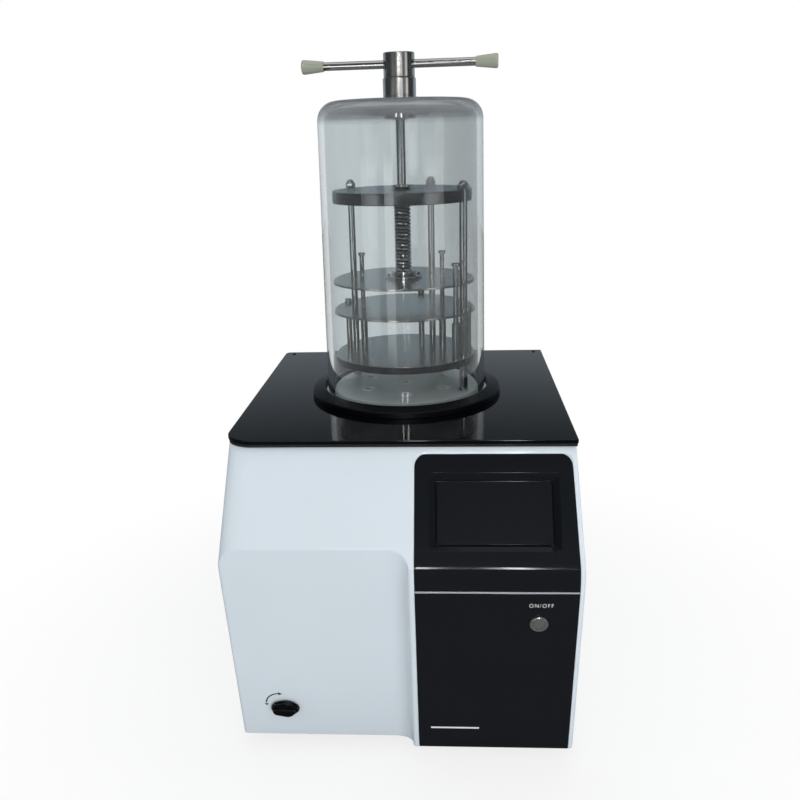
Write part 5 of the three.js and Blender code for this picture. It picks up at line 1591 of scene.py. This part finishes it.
@dataclass
class Rack:
    """Shelves, guide rods, pins, press shelf and lead screw.

    Args:
        azimuths: directions of the guide rods, degrees.
        circle: radius of the circle that rods and pins stand on.
        offset: angle from a rod to its pins.
        rod: radius of a rod.
        play: clearance round a rod.
        pitch: pitch of the lead screw.
        thread: depth of its thread.
        screw: its outer radius.
        pin_hole: radius of the shelves' holes for the long pins.
    """

    azimuths: tuple[float, ...] = (-28.0, 65.0, 148.0)
    circle: float = 94 * MM
    offset: float = 11.5
    rod: float = 5 * MM
    play: float = 0.4 * MM
    pitch: float = 5 * MM
    thread: float = 2 * MM
    screw: float = 12 * MM
    pin_hole: float = 3.9 * MM

    def spot(self, azimuth: float) -> Point:
        """Point on the rods' circle."""
        return on_circle(self.circle, azimuth)

    def holes(self, radius: float, turn: float = 0.0) -> list[Circle]:
        """Three holes on the rods' circle."""
        return [Circle(self.spot(azimuth + turn), radius, 32) for azimuth in self.azimuths]

    def shelf_holes(self) -> list[Circle]:
        """Holes for the guide rods and the long pins."""
        return self.holes(self.rod + self.play) + self.holes(self.pin_hole, -self.offset)

    def shelf(self, name: str, node: str, holes: Sequence[Circle], edge: float) -> Piece:
        """A drilled shelf in a node's place."""
        foot, top, radius = extent(node)
        shape = plate(Circle(AXIS, radius, LARGE_TURN), holes, foot, top, edge)
        return fit(finished(name, shape, SHELF_STEEL), node)

    def discs(self) -> list[Piece]:
        """The fixed shelves, the top disc and its nut."""
        made = [
            self.shelf("bottom_disc", "rack_bottom_plate", self.holes(self.rod + self.play), 0.8 * MM),
            self.shelf("fixed_shelf", "middle_shelf", self.shelf_holes(), 0.5 * MM),
        ]
        # painted reflection: a matt black band over the bottom disc's polished rim paints the dark that the
        # rim mirrors
        node = "rack_bottom_plate"
        foot, top, radius = extent(node)
        low_edge, high_edge = foot + 0.6 * MM, top - 0.8 * MM
        inner, outer = radius - 0.6 * MM, radius + 0.2 * MM
        ring = [(inner, low_edge, 0), (outer, low_edge, 0.1 * MM)]
        ring += [(outer, high_edge, 0.1 * MM), (inner, high_edge, 0)]
        band = lathe(rounded(ring), segments=LARGE_TURN)
        made.append(extra(finished("disc_band", band, PLASTIC), node))
        node = "rack_top_plate"
        outline = NotchedDisc(AXIS, radius - 3.8 * MM, self.rod + self.play, self.circle, self.azimuths)
        foot, top, outer = extent("lead_nut")
        hole = Circle(AXIS, outer + 0.3 * MM, 64)
        shape = plate(outline, [hole], low(node).z, high(node).z, 1.4 * MM)
        made.append(fit(finished("crown_disc", shape, DARK_DISC), node))
        inner = self.screw + self.play
        ring = [(inner, foot, 0.3 * MM), (outer, foot, 0.5 * MM)]
        ring += [(outer, top, 0.5 * MM), (inner, top, 0.3 * MM)]
        return made + [turned("brass_nut", "lead_nut", ring, BRASS, 5, 64)]

    def rods(self) -> list[Piece]:
        """Guide rods and their acorn nuts."""
        made = []
        for index, azimuth in enumerate(self.azimuths, start=1):
            node, nut = f"guide_rod_{index}", f"acorn_nut_{index}"
            foot, top, seat, spot = low(node).z, high(node).z, low(nut).z, self.spot(azimuth)
            step, shoulder = low("rack_bottom_plate").z - 0.3 * MM, high("rack_top_plate").z - 3.3 * MM
            profile = [
                (0, foot, 0), (6 * MM, foot, 0.4 * MM), (6 * MM, foot + 3 * MM, 0.2 * MM),
                (5.4 * MM, foot + 3.5 * MM, 0.2 * MM), (5.4 * MM, step - 3.5 * MM, 0.2 * MM),
                (6 * MM, step - 3 * MM, 0.2 * MM), (6 * MM, step, 0.5 * MM), (self.rod, step, 0.1 * MM),
                (self.rod, shoulder, 0.3 * MM), (4 * MM, shoulder, 0), (4 * MM, top, 0.4 * MM), (0, top, 0),
            ]
            made.append(turned(f"guide_{index}", node, profile, STEEL, 3, 40, spot))
            waist = seat + 6.5 * MM
            lower = stack(hexagon(spot, 7.5 * MM, 0.3 * MM, 2), soft_levels(seat, waist, 0.5 * MM, 2))
            dome = [(0, seat + 6 * MM), (6 * MM, seat + 6 * MM)]
            for k in range(9):
                angle = math.pi / 2 * k / 8
                dome.append((6 * MM * math.cos(angle), waist + (high(nut).z - waist) * math.sin(angle)))
            shape = joined(lower, lathe(dome, spot, 40))
            made.append(fit(finished(f"acorn_{index}", shape, CHROME), nut))
        return made

    def pins(self) -> list[Piece]:
        """Long pins that hang the press shelf and short pins that carry the fixed shelf."""
        made = []
        shelf, seat = high("rack_bottom_plate").z, low("middle_shelf").z - 0.3 * MM
        for index, azimuth in enumerate(self.azimuths, start=1):
            node = f"long_pin_{index}"
            foot, top = low(node).z, high(node).z
            sleeve, head = shelf + 51 * MM, top - 4.3 * MM
            profile = [
                (0, foot, 0), (5.5 * MM, foot, 0.4 * MM), (5.5 * MM, sleeve, 0.6 * MM),
                (3.5 * MM, sleeve, 0.2 * MM), (3.5 * MM, head, 0), (5.5 * MM, head, 0.4 * MM),
                (5.5 * MM, top, 0.9 * MM), (0, top, 0),
            ]
            spot = self.spot(azimuth - self.offset)
            made.append(turned(f"pin_long_{index}", node, profile, STEEL, 3, 40, spot))
            node = f"short_pin_{index}"
            foot, top = low(node).z, high(node).z
            base = high("middle_shelf").z + 0.3 * MM
            profile = [
                (0, foot, 0), (4.5 * MM, foot, 0.4 * MM), (4.5 * MM, seat, 0.5 * MM),
                (2.5 * MM, seat, 0), (2.5 * MM, base, 0), (5 * MM, base, 0.3 * MM),
                (5 * MM, top, 1.2 * MM), (0, top, 0),
            ]
            spot = self.spot(azimuth + self.offset)
            made.append(turned(f"pin_short_{index}", node, profile, STEEL, 3, 40, spot))
        return made

    def press(self) -> list[Piece]:
        """Press shelf, its thrust flange and the lead screw with its thread."""
        shelf = self.shelf("moving_shelf", "press_shelf", self.shelf_holes(), 0.5 * MM)
        foot, rim, radius = extent("thrust_flange")
        well, floor = 8 * MM, foot + 1.5 * MM
        profile = [
            (0, foot, 0), (radius, foot, 0.3 * MM), (radius, rim, 0.7 * MM), (well, rim, 0.3 * MM),
            (well, floor, 0), (0, floor, 0),
        ]
        flange = turned("flange_steel", "thrust_flange", profile, CHROME)
        screw = cap_screw(2.4 * MM, 1.6 * MM, DARK_SCREW)
        seat = Vector((*AXIS, rim))
        screws = repeated("flange_screws", screw, DARK_SCREW, Repeat.RING, 6, 21.8 * MM, seat, 15)
        return [shelf, flange, extra(screws, "thrust_flange")] + self.lead_screw(rim + 0.3 * MM)

    def lead_screw(self, foot: float) -> list[Piece]:
        """Screw core with its collars, the root between the turns in a dark finish as painted shade, and the
        swept thread.
        """
        node = "lead_screw"
        top, pivot, root = high(node).z, low(node).z, self.screw - self.thread
        stop, shoulder, socket = top - 2.5 * MM, foot + 5.8 * MM, top - 30 * MM
        profile = [
            (0, pivot, 0), (7.6 * MM, pivot, 0.5 * MM), (7.6 * MM, foot, 0), (17.5 * MM, foot, 0.5 * MM),
            (17.5 * MM, shoulder, 0.7 * MM), (root - 0.5 * MM, shoulder, 0), (root - 0.5 * MM, stop, 0),
            (15 * MM, stop, 0.3 * MM), (15 * MM, top, 0.6 * MM), (6.8 * MM, top, 0.3 * MM),
            (6.8 * MM, socket, 0), (0, socket, 0),
        ]
        core = turned("screw_core", node, profile, CHROME, 3, 72)
        start, sunk, raised = foot + 6.3 * MM, shoulder - 0.2 * MM, stop + 0.2 * MM
        # painted shade: the root between the thread's turns takes a dark finish
        sleeve = [(7 * MM, sunk), (root, sunk), (root, raised), (7 * MM, raised)]
        dark = extra(finished("screw_root", lathe(sleeve, segments=72), DARK_SCREW), node)
        length = stop - start - 1 * MM
        ridge = helix("screw_thread", CHROME, self.screw, self.thread, start, length, self.pitch)
        return [core, dark, extra(ridge, node)]

    def build(self) -> list[Piece]:
        """All of the rack."""
        return self.discs() + self.rods() + self.pins() + self.press()


# ---------------------------------------------------------------- controls and printing
@dataclass
class Controls:
    """Power button, drain knob and the printed marks round them.

    Args:
        housing: the housing they sit on.
        proud: height of the button's ring.
        ring: its outer radius.
        cap: radius of the moving cap.
        knob: half the width of the drain knob.
        oval: its height over its width.
        ink: thickness of a print.
    """

    housing: Housing
    proud: float = 3 * MM
    ring: float = 11.5 * MM
    cap: float = 7.25 * MM
    knob: float = 19.8 * MM
    oval: float = 0.68
    ink: float = 0.05 * MM

    def __post_init__(self) -> None:
        """Finds the controls in the frame."""
        self.button_at = control_spot("power_button_ring", self.housing)
        self.knob_at = control_spot("drain_knob", self.housing)

    def button(self) -> list[Piece]:
        """Bright ring and brushed cap."""
        place = self.housing.front_frame(*self.button_at)
        hole = self.cap + 0.35 * MM
        profile = [
            (hole, -22 * MM, 0.2 * MM), (9.4 * MM, -22 * MM, 0.3 * MM), (9.4 * MM, 0.3 * MM, 0),
            (self.ring, 0.3 * MM, 0.3 * MM), (self.ring, self.proud, 1.6 * MM),
            (hole + 0.8 * MM, self.proud, 0.5 * MM), (hole, self.proud - 0.9 * MM, 0.3 * MM),
        ]
        ring = placed(lathe(rounded(profile, True, 5), (0, 0), 72), place)
        face = self.proud - 0.6 * MM
        profile = [
            (0, -18 * MM, 0), (self.cap, -18 * MM, 0.3 * MM), (self.cap, face - 0.2 * MM, 0.6 * MM),
            (self.cap * 0.6, face, 20 * MM), (0, face, 0),
        ]
        cap = placed(lathe(rounded(profile, False, 4), (0, 0), 64), place)
        return [
            fit(finished("button_ring", ring, RING_STEEL), "power_button_ring"),
            fit(finished("button_cap", cap, BUTTON_FACE), "power_button_cap"),
        ]

    def drain_knob(self) -> list[Piece]:
        """Glossy oval knob with finger lobes and a grip bar."""
        place = self.housing.front_frame(*self.knob_at)
        skirt = stack(Lobed(self.knob, 0.4 * MM, 5, self.oval), soft_levels(1.2 * MM, 4.2 * MM, 0.9 * MM))
        lobes = Lobed(self.knob - 0.8 * MM, 2 * MM, 5, self.oval)
        crown = stack(lobes, [(0, 4 * MM)] + soft_levels(4.2 * MM, 8 * MM, 2.2 * MM, 5)[5:])
        half = self.knob - 4 * MM
        grip = box_outline(-half, half, -2.5 * MM, 2.5 * MM, 2.4 * MM, 8)
        levels = ((-1.2, 6.6), (-0.8, 7.9), (0, 8.5), (0.2, 9.6), (0.6, 10.3), (1.3, 10.7))
        ridge = stack(grip, [(inset * MM, height * MM) for inset, height in levels])
        shape = placed(joined(skirt, crown, ridge), place)
        return [fit(finished("valve_knob", shape, KNOB_BLACK, 40), "drain_knob")]

    def printed(
        self, name: str, outlines: Sequence[Loop], finish: Finish, at: Point, node: str
    ) -> Piece:
        """Thin printed shapes laid on the front at a point.

        Args:
            name: name of the piece.
            outlines: closed outlines about that point.
            finish: the ink.
            at: (x, level) of the point.
            node: CAD node that carries the print.

        Returns:
            The print, one mesh.
        """
        place = self.housing.front_frame(*at)
        shape = bmesh.new()
        for loop in outlines:
            rings = [[shape.verts.new((x, y, z)) for x, y in loop] for z in (-0.2 * self.ink, self.ink)]
            sides(shape, rings)
            for ring in rings:
                cap(shape, [ring])
        return extra(finished(name, placed(tidy(shape, 1e-6), place), finish), node)

    def arrows(self) -> Piece:
        """Double arrow over the knob that shows how it turns."""
        centre, radius, half, head = (-8 * MM, 6 * MM), 18 * MM, 0.95 * MM, 2.7 * MM
        band = arc(centre, radius + half, 174, 88, 24) + arc(centre, radius - half, 88, 174, 24)
        left, top = centre[0] - radius, centre[1] + radius
        down = [(left - head, centre[1]), (left + 0.4 * MM, centre[1] - 4.4 * MM), (left + head, centre[1])]
        across = [(centre[0], top + head), (centre[0], top - head), (centre[0] + 5.6 * MM, top - 0.3 * MM)]
        return self.printed("turn_arrow", [band, down, across], DARK_PRINT, self.knob_at, "front_fascia")

    def bar_mark(self) -> Piece:
        """Plain white bar low on the black panel."""
        half_x, half_y = 32.15 * MM, 1.4 * MM
        loop = [(-half_x, -half_y), (half_x, -half_y), (half_x, half_y), (-half_x, half_y)]
        return self.printed("white_bar", [loop], WHITE_PRINT, (68.65 * MM, 54.5 * MM), "lower_panel")

    def words(self) -> Piece:
        """ON/OFF over the button."""
        curve = bpy.data.curves.new("on_off", "FONT")
        curve.body = "ON/OFF"
        curve.align_x, curve.align_y = "CENTER", "CENTER"
        curve.size = 8.5 * MM
        curve.offset = -0.08 * MM
        curve.space_character = 1.3
        curve.extrude = self.ink / 2
        holder = bpy.data.objects.new("on_off", curve)
        bpy.context.scene.collection.objects.link(holder)
        evaluated = holder.evaluated_get(bpy.context.evaluated_depsgraph_get())
        mesh = bpy.data.meshes.new_from_object(evaluated)
        bpy.data.objects.remove(holder)
        shape = bmesh.new()
        shape.from_mesh(mesh)
        across = max(v.co.x for v in shape.verts) - min(v.co.x for v in shape.verts)
        fit_width = Matrix.Diagonal((29.6 * MM / across, 1, 1, 1))
        at = self.housing.front_frame(self.button_at[0] + 2 * MM, self.button_at[1] + 27.4 * MM)
        tidy(placed(shape, at @ fit_width), 1e-6)
        return extra(finished("on_off_words", shape, WHITE_PRINT), "lower_panel")

    def build(self) -> list[Piece]:
        """All controls and prints."""
        dress("drain_valve_body", BRASS)
        return self.button() + self.drain_knob() + [self.arrows(), self.bar_mark(), self.words()]


@dataclass(frozen=True)
class Lobed:
    """A round outline with finger hollows.

    Args:
        radius: outer radius.
        hollow: depth of the hollows.
        count: number of lobes.
        oval: height over width.
    """

    radius: float
    hollow: float
    count: int
    oval: float = 1.0

    def loop(self, inset: float = 0.0) -> Loop:
        """The outline drawn in by inset."""
        points = []
        for k in range(120):
            angle = 2 * math.pi * k / 120
            r = self.radius - inset - self.hollow * (0.5 - 0.5 * math.cos(self.count * angle))
            points.append((r * math.cos(angle), self.oval * r * math.sin(angle)))
        return points


def control_spot(node: str, housing: Housing) -> Point:
    """(x, level) where a control's axis meets the front."""
    centre = middle(node)
    out = housing.outward(centre.x, centre.z)
    rise = (housing.front(centre.x, centre.z) - centre.y) * abs(out.y)
    return (centre.x, centre.z - out.z * rise)


# ---------------------------------------------------------------- machinery and rear fittings
@dataclass
class Machinery:
    """Compressor, condenser, fan and the rear connections.

    Args:
        pipe: radius of the vacuum pipe.
        bore: its inner radius.
        flange: radius of its flange.
    """

    pipe: float = 12.5 * MM
    bore: float = 10.5 * MM
    flange: float = 20 * MM

    def port(self) -> Piece:
        """Vacuum port on the rear, a pipe with a clamping flange."""
        node = "vacuum_port"
        level, start, face = middle(node).z, low(node).y, high(node).y
        seat = high("rear_panel").y + 0.3 * MM
        profile = [
            (self.bore, start, 0.2 * MM), (self.pipe, start, 0.2 * MM), (self.pipe, seat, 0),
            (self.pipe + 5 * MM, seat, 0.3 * MM), (self.pipe + 5 * MM, seat + 3 * MM, 0.6 * MM),
            (self.pipe, seat + 3 * MM, 0.6 * MM), (self.pipe, face - 9 * MM, 1 * MM),
            (self.flange, face - 4 * MM, 0.4 * MM), (self.flange, face, 0.5 * MM),
            (self.bore, face, 0.5 * MM),
        ]
        shape = lathe(rounded(profile, True, 4), (0, 0), 72)
        turn = Matrix.Translation((AXIS[0], 0, level)) @ Matrix.Rotation(-math.pi / 2, 4, "X")
        return fit(finished("vacuum_pipe", placed(shape, turn), TURNED_STEEL), node)

    def inlet(self) -> Piece:
        """Mains inlet with softened edges."""
        piece = fit(finished("mains_inlet", copied("power_inlet"), PLASTIC), "power_inlet")
        return soften(piece, 0.4 * MM)

    def build(self) -> list[Piece]:
        """All machinery."""
        for node, finish in (
            ("compressor", ENAMEL), ("condenser", FINS), ("fan_shroud", PLASTIC), ("fan_rotor", PLASTIC),
            ("display_controller", ZINC), ("drain_hose", SILICONE),
        ):
            dress(node, finish)
        return [self.port(), self.inlet()]


# ---------------------------------------------------------------- studio
@dataclass
class Studio:
    """Floor, lamps, background and camera.

    Args:
        lens: focal length on a 36 mm sensor.
        place: the camera's place.
        pitch: how far it looks down, degrees.
        yaw: how far it looks to the left.
        roll: how far it is rolled.
        floor_shine: brightness of the floor in mirrored rays.
        gloom: brightness of the room's dark sides in mirrored rays.
        glimmer: what is added to it for metal seen through clear walls.
    """

    lens: float = 38.23
    place: tuple[float, float, float] = (0.0648, -1.2038, 0.8174)
    pitch: float = 17.39
    yaw: float = 3.506
    roll: float = -1.476
    floor_shine: float = 0.07
    gloom: float = 0.05
    glimmer: float = 0.08

    def camera(self) -> None:
        """The camera at the viewing angle."""
        data = bpy.data.cameras.new("camera")
        data.lens, data.sensor_width = self.lens, 36.0
        camera = bpy.data.objects.new("camera", data)
        bpy.context.scene.collection.objects.link(camera)
        pitch, yaw, roll = (math.radians(a) for a in (self.pitch, self.yaw, self.roll))
        ahead = Vector((-math.sin(yaw) * math.cos(pitch), math.cos(yaw) * math.cos(pitch), -math.sin(pitch)))
        right = Vector((math.cos(yaw), math.sin(yaw), 0))
        up = right.cross(ahead)
        side = right * math.cos(roll) + up * math.sin(roll)
        over = up * math.cos(roll) - right * math.sin(roll)
        turn = Matrix((side, over, -ahead)).transposed().to_4x4()
        camera.matrix_world = Matrix.Translation(self.place) @ turn
        bpy.context.scene.camera = camera

    def lamp(
        self, name: str, place: Sequence[float], aim: Sequence[float], size: Point, power: float
    ) -> None:
        """A soft rectangular lamp aimed at a point, unseen in mirrors and through clear walls."""
        data = bpy.data.lights.new(name, "AREA")
        data.shape = "RECTANGLE"
        data.size, data.size_y = size
        data.energy = power
        lamp = bpy.data.objects.new(name, data)
        lamp.location = place
        lamp.visible_glossy = False
        lamp.visible_transmission = False
        lamp.rotation_euler = (Vector(aim) - Vector(place)).to_track_quat("-Z", "Y").to_euler()
        bpy.context.scene.collection.objects.link(lamp)

    def lamps(self) -> None:
        """Key from the upper right, fill, low front and overhead lamps, and two upright strips."""
        self.lamp("key", (0.9, -2.1, 1.7), (0, 0, 0.45), (1.3, 1.3), 10.5)
        self.lamp("fill", (-1.3, -1.9, 1.2), (0, 0, 0.4), (1.2, 1.4), 3)
        self.lamp("low_front", (1.2, -2.3, 0.35), (-0.1, -0.2, 0.2), (1.4, 0.5), 16.5)
        self.lamp("overhead", (0.0, 0.2, 2.3), (0, 0, 0.4), (1.6, 1.2), 12.5)
        self.lamp("strip_left", (-1.3, -0.5, 0.75), (0, 0, 0.65), (0.16, 1.3), 3)
        self.lamp("strip_right", (1.35, -0.35, 0.75), (0, 0, 0.65), (0.16, 1.3), 3)

    @staticmethod
    def paths(graph: Graph) -> tuple[Socket, Socket, Socket, Socket]:
        """Which rays are the eye's, which look through clear walls, and which are mirrored.

        Args:
            graph: the tree that asks.

        Returns:
            Four masks: seen, through, mirrored, and mirrored inside clear walls.
        """
        seen = graph.ray("Is Camera Ray")
        glossy = graph.ray("Is Glossy Ray")
        through = graph.ray("Is Transmission Ray")
        bounced = graph.ray("Glossy Depth").over(0.5)
        walls = graph.ray("Transmission Depth").over(3.5)
        back = through * bounced * walls
        return seen, through - back, glossy.largest(back), back

    @staticmethod
    def bands(bearing: Socket, depth: Socket) -> Socket:
        """Upright bright openings in front of the object, as metal and clear walls mirror them.

        Args:
            bearing: how far to the right, over how far in front.
            depth: how far to the rear, under 0 in front.

        Returns:
            Their brightness.
        """
        middle_band = bearing.pulse(-0.27, 0.09, 0.05) * 2.3
        side_bands = bearing.pulse(-1.0, 0.3, 0.2) * 1.3 + bearing.pulse(1.3, 0.45, 0.25) * 1.6
        return (middle_band + side_bands) * depth.under(0.0)

    def floor(self) -> None:
        """Pale floor that keeps the object's shadow and otherwise shows white."""
        shape = bmesh.new()
        bmesh.ops.create_grid(shape, x_segments=1, y_segments=1, size=6)
        mesh = bpy.data.meshes.new("floor")
        shape.to_mesh(mesh)
        shape.free()
        floor = bpy.data.objects.new("floor", mesh)
        floor.location.z = -0.0005
        bpy.context.scene.collection.objects.link(floor)
        material = bpy.data.materials.new("floor_pale")
        material.use_nodes = True
        material.node_tree.nodes.clear()
        graph = Graph(material.node_tree)
        place = graph.place()
        tone = graph.mix(graph.noise(place, 3.0), (0.80, 0.80, 0.80, 1), (0.84, 0.84, 0.84, 1))
        reach = graph.node("ShaderNodeVectorMath", {0: place}, output="Value", operation="LENGTH")
        matt = graph.node("ShaderNodeBsdfDiffuse", {"Color": tone})
        glow = graph.node("ShaderNodeEmission", {"Color": (1, 1, 1, 1), "Strength": 1.0})
        across = graph.part(place, "X")
        depth = graph.part(place, "Y")
        bearing = across / depth * -1.0
        far = self.bands(bearing, depth) * depth.ramp(-2.6, -1.9, 1.0, 0.0) + self.floor_shine
        seen, through, mirrored, inside = self.paths(graph)
        far = far + inside * self.glimmer
        dim = graph.node("ShaderNodeEmission", {"Color": (1, 1, 1, 1), "Strength": far})
        lit = graph.blend(mirrored, matt, dim)
        share = (seen * reach.ramp(0.35, 0.9, 0.8, 1.0)).largest(through)
        mixed = graph.blend(share, lit, glow)
        graph.node("ShaderNodeOutputMaterial", {"Surface": mixed})
        mesh.materials.append(material)

    def world(self) -> None:
        """White to the eye and through clear walls, bright near the horizon for reflections."""
        world = bpy.data.worlds.new("studio")
        bpy.context.scene.world = world
        world.use_nodes = True
        world.node_tree.nodes.clear()
        graph = Graph(world.node_tree)
        way = graph.node("ShaderNodeTexCoord", output="Generated")
        height = graph.part(way, "Z")
        depth = graph.part(way, "Y")
        wall = height.ramp(0.2, 0.36, 0.44, 0.07) * height.ramp(-0.2, 0.02, 0.4, 1.0) * depth.ramp(0.2, 0.7)
        window = depth.ramp(-0.92, -0.72, 0.62, 0.0) * height.ramp(0.5, 0.6, 0.0, 0.7)
        across = graph.part(way, "X")
        bearing = across / depth * -1.0
        doors = self.bands(bearing, depth) * height.ramp(-0.03, 0.0, 1.0, 0.0) * height.ramp(-0.4, -0.2)
        panes = bearing.pulse(-0.042, 0.013, 0.003) * 26.0 + bearing.pulse(0.082, 0.011, 0.003) * 30.0
        panes = panes + bearing.pulse(0.054, 0.005, 0.003) * 10.0
        panes = panes * height.pulse(0.3, 0.17, 0.05) * depth.under(0.0)
        screen = bearing.pulse(-0.13, 0.04, 0.03) * 1.0 + bearing.pulse(0.34, 0.12, 0.08) * 1.1
        screen = screen + bearing.pulse(1.6, 0.3, 0.2)
        screen = screen * height.pulse(0.06, 0.07, 0.03) * depth.under(0.0)
        ceiling = height.ramp(0.8, 0.9, 0.0, 0.7)
        seen, through, mirrored, inside = self.paths(graph)
        plain = graph.node("ShaderNodeBackground", {"Color": (0.93, 0.965, 1.0, 1), "Strength": 0.55})
        tone = graph.mix(depth.ramp(-0.1, 0.1), (1, 1, 1, 1), (0.78, 0.9, 1.0, 1))
        crown = inside * height.ramp(0.36, 0.5, self.glimmer, 0.4)
        light = wall + window + doors + panes + screen + ceiling + crown + self.gloom
        shine = graph.node("ShaderNodeBackground", {"Color": tone, "Strength": light})
        white = graph.node("ShaderNodeBackground", {"Color": (1, 1, 1, 1), "Strength": 1.0})
        lit = graph.blend(mirrored, plain, shine)
        whole = graph.blend(seen.largest(through), lit, white)
        graph.node("ShaderNodeOutputWorld", {"Surface": whole})

    def build(self) -> None:
        """All of the studio."""
        self.camera()
        self.lamps()
        self.floor()
        self.world()
        bpy.context.scene.view_settings.view_transform = "Standard"


def main() -> None:
    """Builds the machine and the studio."""
    logging.basicConfig(level=logging.INFO, format="%(name)s: %(message)s")
    housing = Housing()
    for assembly in (housing, ChamberBase(), Jar(), Handle(), Rack(), Controls(housing), Machinery()):
        for piece in assembly.build():
            LOG.info("%s: %s, %d faces", type(assembly).__name__, piece.name, len(piece.data.polygons))
    Studio().build()


if __name__ == "__main__":
    main()
